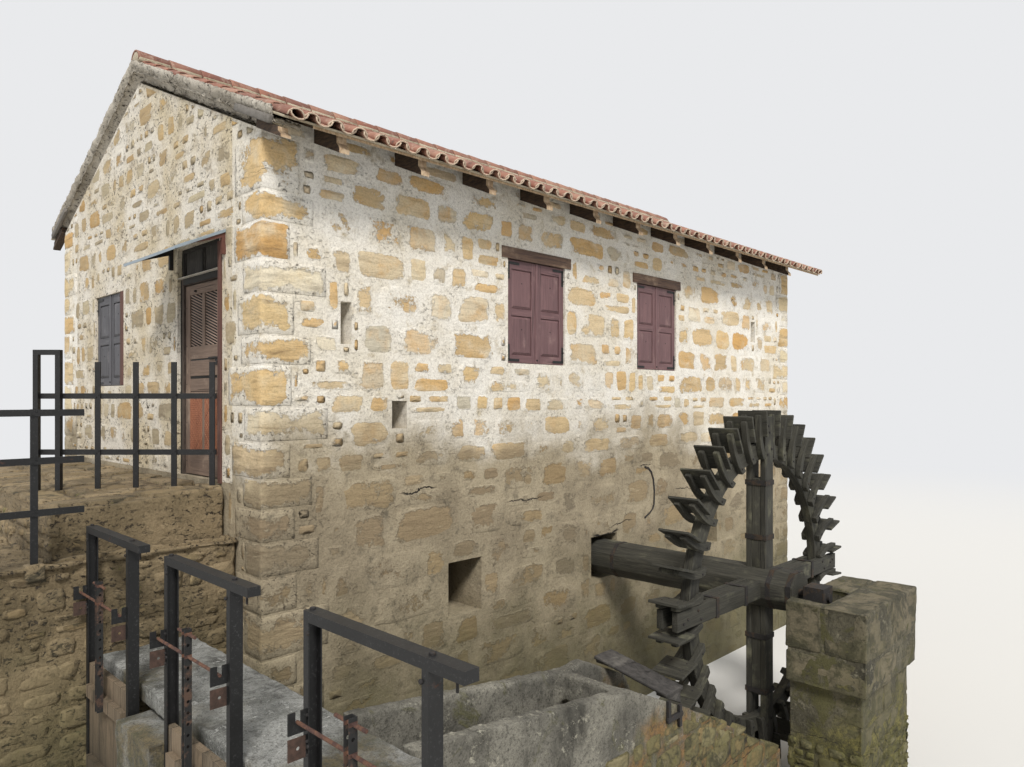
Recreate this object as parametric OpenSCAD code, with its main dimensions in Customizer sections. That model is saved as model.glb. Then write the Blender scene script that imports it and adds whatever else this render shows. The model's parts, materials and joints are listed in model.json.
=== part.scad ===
// Stone watermill with a tiled gable roof, an outside water wheel on a stone pier,
// a stone flume and a three-gate sluice beside a raised door terrace.
// Millimetres, +Z up. +X runs along the long wall beside the water, +Y into the building.
// Heights are taken from the door sill, and the origin is the bottom centre of the whole part.

/* [Building] */
// Length of the building along the water
length = 11200; // [10600:100:12400]
// Width of the building across the gables
width = 6200; // [5800:100:7000]
// Thickness of the stone walls
wall_t = 600; // [500:10:700]
// Depth from the door sill down to the stream bed
base_depth = 3700; // [3620:10:4200]
// Height of the long walls above the sill, to the underside of the rafters
wall_top = 3330; // [3100:10:3600]
// Thickness of the timber floor
floor_t = 220; // [150:10:300]

/* [Roof] */
// Slope of the roof
roof_angle = 23.5; // [20:0.5:28]
// Reach of the tiles past the long walls
eave_out = 600; // [500:10:750]
// Reach of the roof past the far gable
far_verge = 350; // [200:10:500]
// Depth of a rafter
rafter_h = 140; // [110:5:180]
// Width of a rafter
rafter_w = 110; // [80:5:140]
// Reach of the rafter tails past the long walls
rafter_out = 450; // [380:10:480]
// Number of rafter pairs
rafter_count = 11; // [9:1:12]
// Distance of the first rafter from the door gable
rafter_near = 600; // [560:10:800]
// Distance of the last rafter from the far gable
rafter_far = 900; // [700:10:1000]
// Thickness of the roof boards
board_t = 25; // [20:1:40]
// Thickness of the tile layer in the valleys
tile_bed = 35; // [25:1:50]
// Height of the tile waves
tile_rise = 80; // [60:5:95]
// Distance between tile crests
tile_pitch = 250; // [220:5:280]
// Radius of the ridge tiles
ridge_r = 135; // [120:5:160]
// Width of the ridge beam
ridge_beam_w = 120; // [80:5:160]
// Depth of the ridge beam
ridge_beam_h = 220; // [160:5:280]
// Reach of the verge stones past the door gable
verge_out = 100; // [60:5:150]
// Width of the verge stones
verge_w = 350; // [300:10:450]
// Reach of the verge stones past the long walls
kneeler_out = 350; // [250:10:420]
// Height of the kneelers' underside above the rafters' underside
kneeler_rise = 78; // [60:2:100]
// Height of the verge's outer lip above the rafters' underside
verge_lip = 240; // [200:5:260]

/* [Door] */
// Distance of the door frame from the front corner
door_y = 890; // [800:10:1000]
// Width over the door frame
door_w = 1060; // [960:10:1160]
// Height over the door frame
door_h = 2150; // [2050:10:2250]
// Height of the boarded transom over the door
transom_h = 330; // [250:10:400]
// Thickness of the transom boards
transom_t = 40; // [30:1:60]
// Width of the frame timber
door_frame_w = 70; // [55:5:90]
// Depth of the frame timber
door_frame_d = 80; // [76:2:90]
// Setback of the frame from the wall face
door_inset = 40; // [20:5:80]
// Thickness of the door leaf
leaf_t = 50; // [40:2:60]
// Width of the leaf's stiles and rails
stile_w = 110; // [90:5:130]
// Running gap round the leaf
leaf_gap = 8; // [8:1:12]
// Diameter of the hinge pins
hinge_d = 16; // [12:1:20]
// Reach of the sheet canopy past each side of the door
canopy_side = 160; // [60:10:240]
// Reach of the canopy from the wall
canopy_out = 500; // [350:10:600]
// Height of the canopy's edge at the wall
canopy_z = 2510; // [2490:5:2560]
// Fall of the canopy to its outer edge
canopy_fall = 240; // [150:10:260]
// Thickness of the canopy sheet with its folded edge
canopy_t = 10; // [6:1:20]
// Thickness of the canopy brackets
bracket_t = 40; // [30:1:60]

/* [Windows] */
// Width of a window opening
window_w = 1090; // [980:10:1200]
// Height of a window opening in the long walls
window_h = 1300; // [1200:10:1400]
// Height of the window sills in the long walls
window_z = 1275; // [1150:5:1400]
// Left side of the first window in the long walls
window_1_x = 3240; // [3000:10:3500]
// Left side of the second window in the long walls
window_2_x = 6000; // [5800:10:6400]
// Near side of the gable window
gable_window_y = 3670; // [3550:10:3850]
// Height of the gable window's sill
gable_window_z = 1000; // [850:10:1050]
// Height of the gable window opening
gable_window_h = 1210; // [1150:10:1350]
// Height of the timber lintels
lintel_h = 140; // [110:5:170]
// Bearing of a lintel past each side of the opening
lintel_bearing = 110; // [80:5:150]
// Reach of a lintel past the wall face
lintel_out = 15; // [5:1:25]
// Depth of a lintel into the wall
lintel_d = 250; // [200:10:300]
// Width of the window frame timber
window_frame_w = 55; // [45:5:70]
// Depth of the window frame timber
window_frame_d = 90; // [70:5:120]
// Setback of the shutters from the wall face
shutter_inset = 25; // [10:5:45]
// Thickness of a shutter leaf
shutter_t = 42; // [34:1:50]
// Width of a shutter's stiles and rails
shutter_stile = 85; // [70:5:100]
// Depth of the panel margins in a shutter
panel_sink = 12; // [8:1:15]

/* [Water wheel] */
// Distance of the wheel axis from the front corner
wheel_x = 5190; // [5000:10:5400]
// Height of the wheel axis
wheel_z = -1410; // [-1450:5:-1380]
// Distance of the rim's middle plane from the long wall
wheel_y = -2335; // [-2380:5:-2290]
// Inner radius of the rim
rim_ri = 1520; // [1480:5:1560]
// Outer radius of the rim
rim_ro = 1700; // [1680:5:1720]
// Width of the rim
rim_w = 110; // [90:5:130]
// Radius to the inner edge of the floats
float_r = 1800; // [1770:5:1840]
// Radius to the float tips
tip_r = 2110; // [2060:5:2130]
// Number of floats
float_count = 36; // [28:4:36]
// Width of a float board
float_w = 365; // [340:5:400]
// Thickness of a float board
float_t = 30; // [24:1:36]
// Thickness of a curved start
start_w = 70; // [55:5:80]
// Breadth of a start at its foot on the rim
start_foot = 90; // [70:5:100]
// Breadth of a start at its tip
start_tip = 45; // [36:1:55]
// Sideways bend of a start from its tip to its foot
start_bend = 95; // [60:5:110]
// Width of an arm plank
arm_w = 200; // [180:5:210]
// Thickness of an arm plank
arm_t = 70; // [55:5:80]
// Distance of the arm ends inside the float tips
arm_end = 80; // [50:5:150]
// Distance of the starts' ends inside the float tips
start_end = 50; // [20:5:90]
// Radius to the outer end of the arm packing
packing_r = 1290; // [1100:10:1400]
// Diameter across the flats of the timber shaft
shaft_d = 450; // [420:5:460]
// Diameter of the iron gudgeons
gudgeon_d = 100; // [80:5:120]
// Width of the iron hoops and straps
strap_w = 60; // [50:5:70]
// Thickness of the iron hoops and straps
strap_t = 8; // [6:1:10]

/* [Pier] */
// Width of the wheel pier along the water
pier_len = 1680; // [1500:10:1800]
// Thickness of the wheel pier
pier_w = 890; // [800:10:1000]
// Near side of the pier from the long wall
pier_y = -3760; // [-3800:10:-3700]
// Height of the pier's top
pier_top = -1370; // [-1400:5:-1340]
// Height of the pier's upper blocks
pier_cap_h = 900; // [700:10:1100]
// Overhang of the upper pier blocks over the lower masonry
pier_lip = 70; // [40:5:100]

/* [Flume] */
// Downstream end of the level trough
trough_end_x = 1850; // [1700:10:2000]
// Fall of the trough's walls along its length
trough_fall = 290; // [200:10:350]
// Clear width of the trough
trough_w = 535; // [520:5:560]
// Thickness of the trough walls
trough_wall_t = 155; // [140:5:170]
// Depth of the trough below its wall tops
trough_depth = 620; // [500:10:750]
// Near face of the trough from the long wall
trough_y = -2860; // [-2870:5:-2850]
// Rise of the rear wall's crest above the front wall's, under the cover plank
rear_rise = 125; // [60:5:160]
// Width of the cover plank
cover_w = 290; // [240:10:360]
// Thickness of the cover plank
cover_t = 45; // [35:5:60]

/* [Sluice] */
// Middle plane of the gate posts
gate_x = -1300; // [-1340:10:-1280]
// Places of the three gates along the weir
gate_ys = [-70, -1757, -3576];
// Distance between the posts of a gate
gate_span = 946; // [900:2:990]
// Height of the frames' top
frame_top = -228; // [-300:4:-200]
// Depth of the steel channel of the posts
post_d = 80; // [80:2:100]
// Flange width of the steel channel of the posts
post_w = 45; // [40:1:55]
// Thickness of the steel channel
steel_t = 8; // [6:1:8]
// Overhang of the top beams past the posts
beam_over = 220; // [180:10:260]
// Height of the top beams
beam_h = 55; // [45:5:70]
// Thickness of a gate's boards
gate_t = 50; // [40:1:50]
// Height of a gate
gate_h = 980; // [900:10:1050]
// Width of the lifting channels
bar_w = 46; // [40:1:52]
// Thickness of the lifting channels
bar_t = 5; // [4:0.5:6]
// Distance between the holes of a lifting bar
bar_hole_pitch = 70; // [60:1:80]
// Diameter of the locking rods
rod_d = 20; // [16:1:24]
// Height of the locking rods
rod_z = -770; // [-800:5:-740]
// Height of the bars' top
bar_top = -600; // [-620:5:-560]
// Height of the sluice deck
deck_z = -1300; // [-1340:10:-1280]
// Thickness of the sluice deck
deck_t = 180; // [140:10:220]
// Downstream edge of the sluice deck
deck_x = -460; // [-500:10:-420]
// Height of the gate sills
sill_z = -2350; // [-2400:10:-2330]
// Length of the outer abutment
abutment_len = 480; // [400:10:600]
// Reach of the piers upstream of the gates
pier_nose = 120; // [80:10:200]
// Thickness of the head wall that turns the middle gate's water into the flume
head_wall_t = 160; // [120:10:220]

/* [Terrace] */
// Reach of the door terrace from the gable
terrace_out = 1550; // [1450:10:1650]
// Near edge of the terrace at the gable
terrace_y = 700; // [660:10:760]
// Drop from the door sill to the terrace
terrace_step = 25; // [10:5:60]
// Fall of the terrace to its outer edge
terrace_fall = 70; // [0:10:100]
// Height of the bank wall beside the sluice
bank_z = -500; // [-600:10:-460]
// Reach of the bank wall from the gable
bank_out = 2600; // [2400:10:3000]
// Far edge of the bank wall
bank_back_y = 2100; // [1800:10:2400]

/* [Railings] */
// Height of the terrace railing's posts
rail_post_h = 1200; // [1100:10:1300]
// Width of the flat posts and rails
rail_bar_w = 55; // [45:1:60]
// Thickness of the flat posts and rails
rail_bar_t = 12; // [8:1:15]
// Distance between the terrace railing's posts
rail_pitch = 380; // [350:5:400]
// Direction of the terrace railing
rail_turn = 134.5; // [130:0.5:146]
// Distance between the bank railing's posts
bank_rail_pitch = 375; // [300:5:420]
// Height of the bank railing's posts
bank_rail_h = 1250; // [1100:10:1350]
// Heights of the bank railing's three rails
bank_rails = [410, 830, 1220];
// Length of the bank railing's rails past its last post
bank_rail_past = 360; // [60:10:380]
// Side of the square posts at the terrace railing's far end
end_post_w = 50; // [40:2:60]
// Distance between those two posts
end_post_gap = 220; // [180:5:240]
// Height of those posts above the railing's other posts
end_post_more = 120; // [60:5:200]
// Height of the upper rail
rail_high = 860; // [780:5:900]
// Height of the lower rail
rail_low = 300; // [280:5:400]

/* [Hidden] */
$fn = 64;

// Gap between solids that rest on each other along slopes and curves
seat = 0.3;
// Length added to a cutting shape so that it passes its faces
cut = 20;
// Set-back of a rafter tail's upper part, and width of the tail on the front corner
tail_step = 50;
corner_tail_w = 100;
// Width of the lip that the verge stones carry beside the tiles
verge_lip_w = 40;
slope = tan(roof_angle);
run = cos(roof_angle);
mid = width / 2;
rafter_pitch = (length - rafter_near - rafter_far) / (rafter_count - 1);
tile_h = board_t + tile_bed + tile_rise;
arm_r = tip_r - arm_end;
gate_slot_w = gate_span + post_w;
gate_low_y = gate_ys[2] - gate_slot_w / 2 - abutment_len;
trough_in_y = trough_y + trough_wall_t;
trough_out_y = trough_in_y + trough_w;
x_low = -bank_out;
x_high = length + far_verge;
y_low = gate_low_y;
y_high = width + eave_out;
opening_h = door_h + transom_h;
doorway_y1 = door_y + door_w;
leaf_y0 = door_y + door_frame_w + leaf_gap;
leaf_y1 = doorway_y1 - door_frame_w - leaf_gap;
leaf_x = door_inset + door_frame_d - leaf_t;
leaf_top = door_h - door_frame_w - leaf_gap;
hinge_x = leaf_x + leaf_t + 20;
hinge_y = leaf_y1 + leaf_gap / 2;

// Places a piece, drawn from the front corner at sill height, in the frame of the whole part.
module in_place() {
    translate([-(x_low + x_high) / 2, -(y_low + y_high) / 2, base_depth]) children();
}

// Box between two corners.
module block(low, high) {
    translate(low) cube(high - low);
}

// Outline in the YZ plane, drawn along X.
module along_x(x0, x1) {
    translate([x0, 0, 0]) rotate([90, 0, 90]) linear_extrude(x1 - x0) children();
}

// Outline in the XZ plane, drawn along Y.
module along_y(y0, y1) {
    translate([0, y1, 0]) rotate([90, 0, 0]) linear_extrude(y1 - y0) children();
}

// Height of a roof layer above the rafters' underside, at a distance across the building.
function layer_z(y, depth) = wall_top + min(y, width - y) * slope + depth / run;

// Outline of a roof layer on the waterside slope, from a lower edge to an upper edge.
module slope_band(y0, y1, low, high) {
    polygon([
        [y0, layer_z(y0, low)], [y1, layer_z(y1, low)],
        [y1, layer_z(y1, high)], [y0, layer_z(y0, high)]
    ]);
}

// The waterside slope's pieces, and the same pieces on the back slope.
module both_slopes() {
    children();
    back_slope() children();
}

module back_slope() {
    translate([0, width, 0]) mirror([0, 1, 0]) children();
}

// Outline of a rafter from its moulded tail up to a line across the building.
module rafter_side(y1, top, grow) {
    y0 = -rafter_out;
    y_set = y0 + tail_step;
    polygon([
        [y0, layer_z(y0, 0) - grow], [y1, layer_z(y1, 0) - grow], [y1, layer_z(y1, top)],
        [y_set, layer_z(y_set, top)], [y_set, layer_z(y_set, top * 0.55)], [y0, layer_z(y0, top * 0.3)]
    ]);
}

// Rafters on the waterside slope, with an optional gap round them.
module slope_rafters(grow) {
    for (i = [0 : rafter_count - 1])
        along_x(rafter_near + i * rafter_pitch - rafter_w / 2 - grow,
                rafter_near + i * rafter_pitch + rafter_w / 2 + grow)
            rafter_side(mid - ridge_beam_w / 2 - seat, rafter_h - seat, grow);
}

// Outline of a long wall's cross-section above a level, up to a roof layer.
module long_wall_section(z0, depth) {
    polygon([
        [0, z0], [wall_t, z0],
        [wall_t, layer_z(wall_t, depth)], [0, layer_z(0, depth)]
    ]);
}

// Long wall from a level to the roof, with its top filled between the rafters.
module long_wall(z0) {
    along_x(0, length) long_wall_section(z0, -seat);
    difference() {
        along_x(verge_w - verge_out + seat, length) long_wall_section(z0, rafter_h - seat);
        slope_rafters(seat);
    }
}

// Cutting shape for a window in a long wall, with the pocket for its lintel.
module window_cut(x) {
    block([x, -cut, window_z], [x + window_w, wall_t + cut, window_z + window_h]);
    lintel(x, cut);
}

module lintel(x, out) {
    block([x - lintel_bearing, -out, window_z + window_h],
          [x + window_w + lintel_bearing, lintel_d, window_z + window_h + lintel_h]);
}

// Slots and hatches of the waterside wall: place, height of the middle, width and height.
wall_slots = [[910, 1600, 130, 430], [1580, 660, 200, 300], [9730, 2070, 170, 380]];
low_slots = [[2530, -1365, 520, 630], [8220, -1390, 350, 520]];

module slot_cuts(slots) {
    for (s = slots)
        block([s[0] - s[2] / 2, -cut, s[1] - s[3] / 2], [s[0] + s[2] / 2, wall_t + cut, s[1] + s[3] / 2]);
}

shaft_hole = shaft_d + 150;
inner_bearing_y = wall_t / 2;

module waterside_wall_lower() {
    in_place() color("tan") difference() {
        block([0, 0, -base_depth], [length, wall_t, 0]);
        slot_cuts(low_slots);
        block([wheel_x - shaft_hole / 2, -cut, wheel_z - shaft_hole / 2],
              [wheel_x + shaft_hole / 2, wall_t + cut, wheel_z + shaft_hole / 2]);
    }
}

module waterside_wall_upper() {
    in_place() color("wheat") difference() {
        long_wall(0);
        window_cut(window_1_x);
        window_cut(window_2_x);
        slot_cuts(wall_slots);
    }
}

module back_wall() {
    in_place() color("wheat") back_slope() difference() {
        long_wall(-base_depth);
        window_cut(window_1_x);
        window_cut(window_2_x);
    }
}

// Outline of a gable between the long walls, from a level to a roof layer.
module gable_section(y0, y1, z0, depth) {
    polygon(concat(
        [[y0, z0], [y1, z0], [y1, layer_z(y1, depth)]],
        (y0 < mid && y1 > mid) ? [[mid, layer_z(mid, depth)]] : [],
        [[y0, layer_z(y0, depth)]]
    ));
}

module far_gable_wall() {
    in_place() color("wheat")
        along_x(length - wall_t, length) gable_section(wall_t, width - wall_t, -base_depth, rafter_h - seat);
}

module door_gable_lower() {
    in_place() color("tan") block([0, wall_t, -base_depth], [wall_t, width - wall_t, 0]);
}

// Door gable wall between two lines, with its step under the verge stones.
module door_gable(y0, y1, z0) {
    along_x(0, wall_t) gable_section(y0, y1, z0, -seat);
    along_x(verge_w - verge_out + seat, wall_t) gable_section(y0, y1, z0, rafter_h - seat);
}

module door_gable_left() {
    in_place() color("lightgray") difference() {
        block([0, doorway_y1, 0], [wall_t, width - wall_t, opening_h]);
        gable_window_cut();
    }
}

module gable_window_cut() {
    block([-cut, gable_window_y, gable_window_z],
          [wall_t + cut, gable_window_y + window_w, gable_window_z + gable_window_h]);
}

module door_gable_right() {
    in_place() color("lightgray") block([0, wall_t, 0], [wall_t, door_y, opening_h]);
}

module door_gable_over() {
    in_place() color("lightgray") difference() {
        door_gable(wall_t, width - wall_t, opening_h);
        gable_window_cut();
        both_slopes() slope_rafters(seat);
    }
}

module mill_floor() {
    in_place() color("peru") block([wall_t, wall_t, -floor_t], [length - wall_t, width - wall_t, 0]);
}

module ridge_beam() {
    top = rafter_h - 2 * seat;
    in_place() color("saddlebrown") along_x(wall_t, length - wall_t) polygon([
        [mid - ridge_beam_w / 2, layer_z(mid - ridge_beam_w / 2, top) - ridge_beam_h],
        [mid + ridge_beam_w / 2, layer_z(mid + ridge_beam_w / 2, top) - ridge_beam_h],
        [mid + ridge_beam_w / 2, layer_z(mid + ridge_beam_w / 2, top)],
        [mid, layer_z(mid, top)],
        [mid - ridge_beam_w / 2, layer_z(mid - ridge_beam_w / 2, top)]
    ]);
}

// Rafters, with a short tail on each front corner under the kneeler.
module rafters() {
    in_place() color("saddlebrown") both_slopes() {
        slope_rafters(0);
        along_x(-corner_tail_w / 2, corner_tail_w / 2) rafter_side(-seat, kneeler_rise - seat, 0);
    }
}

module roof_boards() {
    in_place() color("sienna") both_slopes()
        along_x(verge_w - verge_out, length + far_verge)
            slope_band(-rafter_out - 30, mid - seat / 2, rafter_h, rafter_h + board_t - seat);
}

// Cross-section of the tile layer: round crests over flat valleys.
function tile_wave(x) = tile_bed + tile_rise * pow(max(0, cos(360 * x / tile_pitch)) , 0.6);

module tile_slope() {
    x0 = -verge_out + verge_lip_w;
    x1 = length + far_verge;
    steps = 8;
    count = floor((x1 - x0) / tile_pitch * steps);
    depth = rafter_h + board_t;
    lift = (tile_bed + tile_rise) * sin(roof_angle);
    start_y = -eave_out + lift;
    intersection() {
        translate([0, start_y, layer_z(start_y, depth)]) rotate([roof_angle, 0, 0])
            translate([0, width, 0]) rotate([90, 0, 0]) linear_extrude(width)
                polygon(concat(
                    [[x1, 0], [x0, 0]],
                    [for (i = [0 : count]) [x0 + i * tile_pitch / steps, tile_wave(i * tile_pitch / steps)]],
                    [[x1, tile_bed]]
                ));
        block([x0 - cut, -width, 0], [x1 + cut, mid - seat / 2, 2 * width]);
    }
}

module waterside_tiles() {
    in_place() color("indianred") tile_slope();
}

module back_tiles() {
    in_place() color("indianred") back_slope() tile_slope();
}

module ridge_tiles() {
    top = rafter_h + board_t + tile_bed + tile_rise + seat;
    in_place() color("indianred") along_x(-verge_out + verge_lip_w, length + far_verge) difference() {
        translate([mid, layer_z(mid, top) - 60]) circle(r = ridge_r);
        polygon([
            [-width, layer_z(-width, top)], [mid, layer_z(mid, top)],
            [2 * width, layer_z(2 * width, top)], [2 * width, 0], [-width, 0]
        ]);
    }
}

// Coping of the door gable: it passes the wall as a thin kneeler, and its lip stands beside the tiles.
module verge_stones() {
    y1 = mid - seat / 2;
    top = rafter_h + board_t - seat;
    in_place() color("gray") both_slopes() {
        along_x(-verge_out, verge_w - verge_out) slope_band(-kneeler_out, y1, kneeler_rise, top);
        along_x(0, verge_w - verge_out) slope_band(0, y1, 0, top);
        along_x(-verge_out, -verge_out + verge_lip_w - seat) slope_band(-kneeler_out, y1, kneeler_rise, verge_lip);
    }
}

module window_lintels() {
    in_place() color("saddlebrown") both_slopes() {
        lintel(window_1_x, lintel_out);
        lintel(window_2_x, lintel_out);
    }
}

// Timber frame in a window opening, in a wall that faces -Y.
module window_frame(x, z, h) {
    y0 = shutter_inset + shutter_t + seat;
    difference() {
        block([x, y0, z], [x + window_w, y0 + window_frame_d, z + h]);
        block([x + window_frame_w, y0 - cut, z + window_frame_w],
              [x + window_w - window_frame_w, y0 + window_frame_d + cut, z + h - window_frame_w]);
    }
}

// Moves a wall piece that faces -Y onto the door gable, which faces -X.
module on_gable(y1) {
    translate([0, y1, 0]) rotate([0, 0, -90]) children();
}

module window_frames() {
    in_place() color("maroon") {
        both_slopes() {
            window_frame(window_1_x, window_z, window_h);
            window_frame(window_2_x, window_z, window_h);
        }
        on_gable(gable_window_y + window_w) window_frame(0, gable_window_z, gable_window_h);
    }
}

// One shutter leaf with two raised panels, standing on its lower left corner.
module shutter_leaf(w, h) {
    panel_w = w - 2 * shutter_stile;
    panel_h = (h - 3 * shutter_stile) / 2;
    difference() {
        cube([w, shutter_t, h]);
        for (row = [0 : 1])
            translate([shutter_stile, -cut, shutter_stile + row * (panel_h + shutter_stile)])
                difference() {
                    cube([panel_w, cut + panel_sink, panel_h]);
                    translate([30, 0, 30]) cube([panel_w - 60, 3 * cut, panel_h - 60]);
                }
    }
}

// Closed pair of shutters in an opening of a wall that faces -Y.
module shutter_pair(x, z, h) {
    gap = 6;
    leaf_w = (window_w - 3 * gap) / 2;
    for (side = [0 : 1])
        translate([x + gap + side * (leaf_w + gap), shutter_inset, z + gap])
            shutter_leaf(leaf_w, h - 2 * gap);
}

module waterside_shutters() {
    in_place() color("rosybrown") {
        shutter_pair(window_1_x, window_z, window_h);
        shutter_pair(window_2_x, window_z, window_h);
    }
}

module back_shutters() {
    in_place() color("rosybrown") back_slope() {
        shutter_pair(window_1_x, window_z, window_h);
        shutter_pair(window_2_x, window_z, window_h);
    }
}

module gable_shutters() {
    in_place() color("slategray")
        on_gable(gable_window_y + window_w) shutter_pair(0, gable_window_z, gable_window_h);
}

hinge_zs = [250, 1750];
eye_h = 60;
eye_wall = 6;

module door_frame() {
    face = door_inset + door_frame_d;
    in_place() color("brown") {
        difference() {
            block([door_inset, door_y, 0], [face, doorway_y1, door_h]);
            block([0, door_y + door_frame_w, -cut],
                  [wall_t, doorway_y1 - door_frame_w, door_h - door_frame_w]);
        }
        for (z = hinge_zs) pintle(face, z);
    }
}

// Hinge pin on its lug, which is bolted to the frame's inner face.
module pintle(face, z) {
    block([face, hinge_y + 6, z - 14], [hinge_x + 12, hinge_y + 60, z - 4]);
    block([hinge_x - 10, hinge_y - 9, z - 14], [hinge_x + 12, hinge_y + 7, z - 4]);
    translate([hinge_x, hinge_y, z - 10]) cylinder(d = hinge_d, h = eye_h + 20);
}

// Hinge eye with its strap along the leaf's inner face.
module leaf_hinge(z) {
    difference() {
        union() {
            translate([hinge_x, hinge_y, z]) cylinder(d = hinge_d + 2 * eye_wall, h = eye_h);
            block([leaf_x + leaf_t - 1, leaf_y1 - 300, z + 5], [leaf_x + leaf_t + 8, hinge_y, z + eye_h - 5]);
        }
        translate([hinge_x, hinge_y, z - cut]) cylinder(d = hinge_d + 0.2, h = eye_h + 2 * cut);
    }
}

module door_transom() {
    x0 = door_inset + 20;
    w = (door_w - 3 * door_frame_w) / 2;
    in_place() color("brown") difference() {
        block([x0, door_y, door_h], [x0 + transom_t, doorway_y1, opening_h]);
        for (i = [0 : 1])
            translate([x0 - cut, door_y + door_frame_w + i * (w + door_frame_w), door_h + 40])
                cube([cut + panel_sink, w, transom_h - 80]);
    }
}

// Heights of the leaf's rails: bottom rail, two rails round the level panels, lock rail, head.
leaf_rails = [20, 700, 960, 1190, leaf_top - stile_w];

module door_leaf() {
    w = leaf_y1 - leaf_y0;
    muntin = stile_w * 0.6;
    in_place() color("dimgray") union() {
        difference() {
            block([leaf_x, leaf_y0, leaf_gap], [leaf_x + leaf_t, leaf_y1, leaf_top]);
            for (side = [0 : 1])
                block([leaf_x - cut, leaf_y0 + stile_w + side * (w / 2 - stile_w + muntin / 2), leaf_rails[3]],
                      [leaf_x + leaf_t + cut,
                       leaf_y0 + w / 2 - muntin / 2 + side * (w / 2 - stile_w + muntin / 2),
                       leaf_rails[4]]);
            for (row = [1 : 2])
                block([leaf_x - cut, leaf_y0 + stile_w, leaf_rails[row] + stile_w * 0.4],
                      [leaf_x + panel_sink, leaf_y1 - stile_w, leaf_rails[row + 1] - stile_w * 0.4]);
            block([leaf_x - cut, leaf_y0 + stile_w, leaf_rails[0] + stile_w],
                  [leaf_x + panel_sink, leaf_y1 - stile_w, leaf_rails[1] - stile_w * 0.4]);
        }
        for (z = hinge_zs) leaf_hinge(z);
    }
}

// Height of the canopy's underside at a place before the wall.
function canopy_low(x) = canopy_z + x * canopy_fall / canopy_out;

module door_canopy() {
    y0 = door_y - canopy_side;
    y1 = doorway_y1 + canopy_side;
    in_place() color("steelblue") {
        along_y(y0, y1) polygon([
            [-canopy_out, canopy_low(-canopy_out)], [-canopy_out, canopy_low(-canopy_out) + canopy_t],
            [0, canopy_z + canopy_t], [0, canopy_z]
        ]);
        for (y = [y0 + 10, y1 - bracket_t - 10])
            along_y(y, y + bracket_t) polygon([
                [-canopy_out + 60, canopy_low(-canopy_out + 60)], [0, canopy_z],
                [0, canopy_z - 240], [-bracket_t, canopy_z - 240], [-bracket_t, canopy_low(-bracket_t) - 60]
            ]);
    }
}

terrace_back_y = width;

module terrace() {
    in_place() color("darkkhaki") terrace_body();
}

module terrace_body() {
    along_y(terrace_y, terrace_back_y)
        polygon([
            [-terrace_out, -base_depth], [0, -base_depth],
            [0, -terrace_step], [-terrace_out, -terrace_step - terrace_fall]
        ]);
}

bank_y = gate_ys[0] + gate_slot_w / 2;

module bank_wall() {
    in_place() color("darkkhaki") union() {
        block([-bank_out, bank_y, -base_depth], [0, terrace_y, bank_z]);
        block([-bank_out, terrace_y - cut, -base_depth], [-terrace_out, bank_back_y, bank_z]);
    }
}

// Flat-bar railing along +X from the origin, with its posts on the ground and rails that pass the end posts.
module railing(posts, first, pitch, h, rails, before, past) {
    for (i = [0 : posts - 1])
        translate([first + i * pitch - rail_bar_w / 2, 0, 0]) cube([rail_bar_w, rail_bar_t, h]);
    for (z = rails)
        translate([first - before, -rail_bar_t, z - rail_bar_w / 2])
            cube([(posts - 1) * pitch + before + past, rail_bar_t, rail_bar_w]);
}

// Two square posts at the terrace railing's far end, joined by a bar at their tops.
module end_posts(h) {
    last = 4 * rail_pitch;
    for (x = [last, last + end_post_gap])
        translate([x - end_post_w / 2, -rail_bar_t / 2, 0]) cube([end_post_w, end_post_w, h]);
    translate([last - end_post_w / 2, -rail_bar_t / 2, h - end_post_w]) cube([end_post_gap + end_post_w, end_post_w, end_post_w]);
}

// Flat-bar posts of the railing stand on the terrace, which falls away under them.
module terrace_railing() {
    foot = terrace_step + terrace_fall;
    in_place() color("black") difference() {
        translate([-80, terrace_y + 170, -foot]) rotate([0, 0, rail_turn]) {
            railing(5, 0, rail_pitch, rail_post_h + foot, [rail_low + foot, rail_high + foot], 40, end_post_gap);
            end_posts(rail_post_h + end_post_more + foot);
        }
        terrace_body();
    }
}

module bank_railing() {
    in_place() color("black") translate([-bank_out, bank_y + 60, bank_z])
        railing(3, 150, bank_rail_pitch, bank_rail_h, bank_rails, 60, bank_rail_past);
}

module sluice_sill() {
    in_place() color("gray")
        block([gate_x - post_d / 2 - pier_nose, y_low, -base_depth], [deck_x, bank_y, sill_z]);
}

// Stretches of masonry between the gates, from the outer abutment to the bank.
function pier_low(i) = i == 0 ? y_low : gate_ys[3 - i] + gate_slot_w / 2;
function pier_high(i) = gate_ys[2 - i] - gate_slot_w / 2;

// The pier beside the flume narrows behind its gate, so that the middle gate feeds the flume's mouth.
module sluice_piers() {
    back_x = gate_x + post_d / 2 + 20;
    top = deck_z - deck_t;
    in_place() color("darkgray") difference() {
        union() {
            for (i = [0 : 2])
                block([gate_x - post_d / 2 - pier_nose, pier_low(i), sill_z], [deck_x, pier_high(i), top]);
            block([deck_x - head_wall_t, trough_out_y, sill_z], [deck_x, pier_low(2) + cut, top]);
        }
        block([back_x, trough_in_y, sill_z - cut], [deck_x + cut, trough_out_y, top + cut]);
        block([back_x, trough_out_y - cut, sill_z - cut], [deck_x - head_wall_t, pier_low(2), top + cut]);
    }
}

module sluice_deck() {
    in_place() color("silver")
        block([gate_x + post_d / 2 + 10, y_low, deck_z - deck_t], [deck_x, bank_y, deck_z]);
}

// Steel channel post, open towards +Y, with its web's back on the XZ plane.
module channel_post(h) {
    difference() {
        translate([-post_d / 2, 0, 0]) cube([post_d, post_w, h]);
        translate([-post_d / 2 + steel_t, steel_t, -cut]) cube([post_d - 2 * steel_t, post_w, h + 2 * cut]);
    }
}

gate_z = sill_z + seat;
batten_t = 40;
bar_x = gate_x - gate_t / 2 - batten_t - bar_w / 2;

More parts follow.
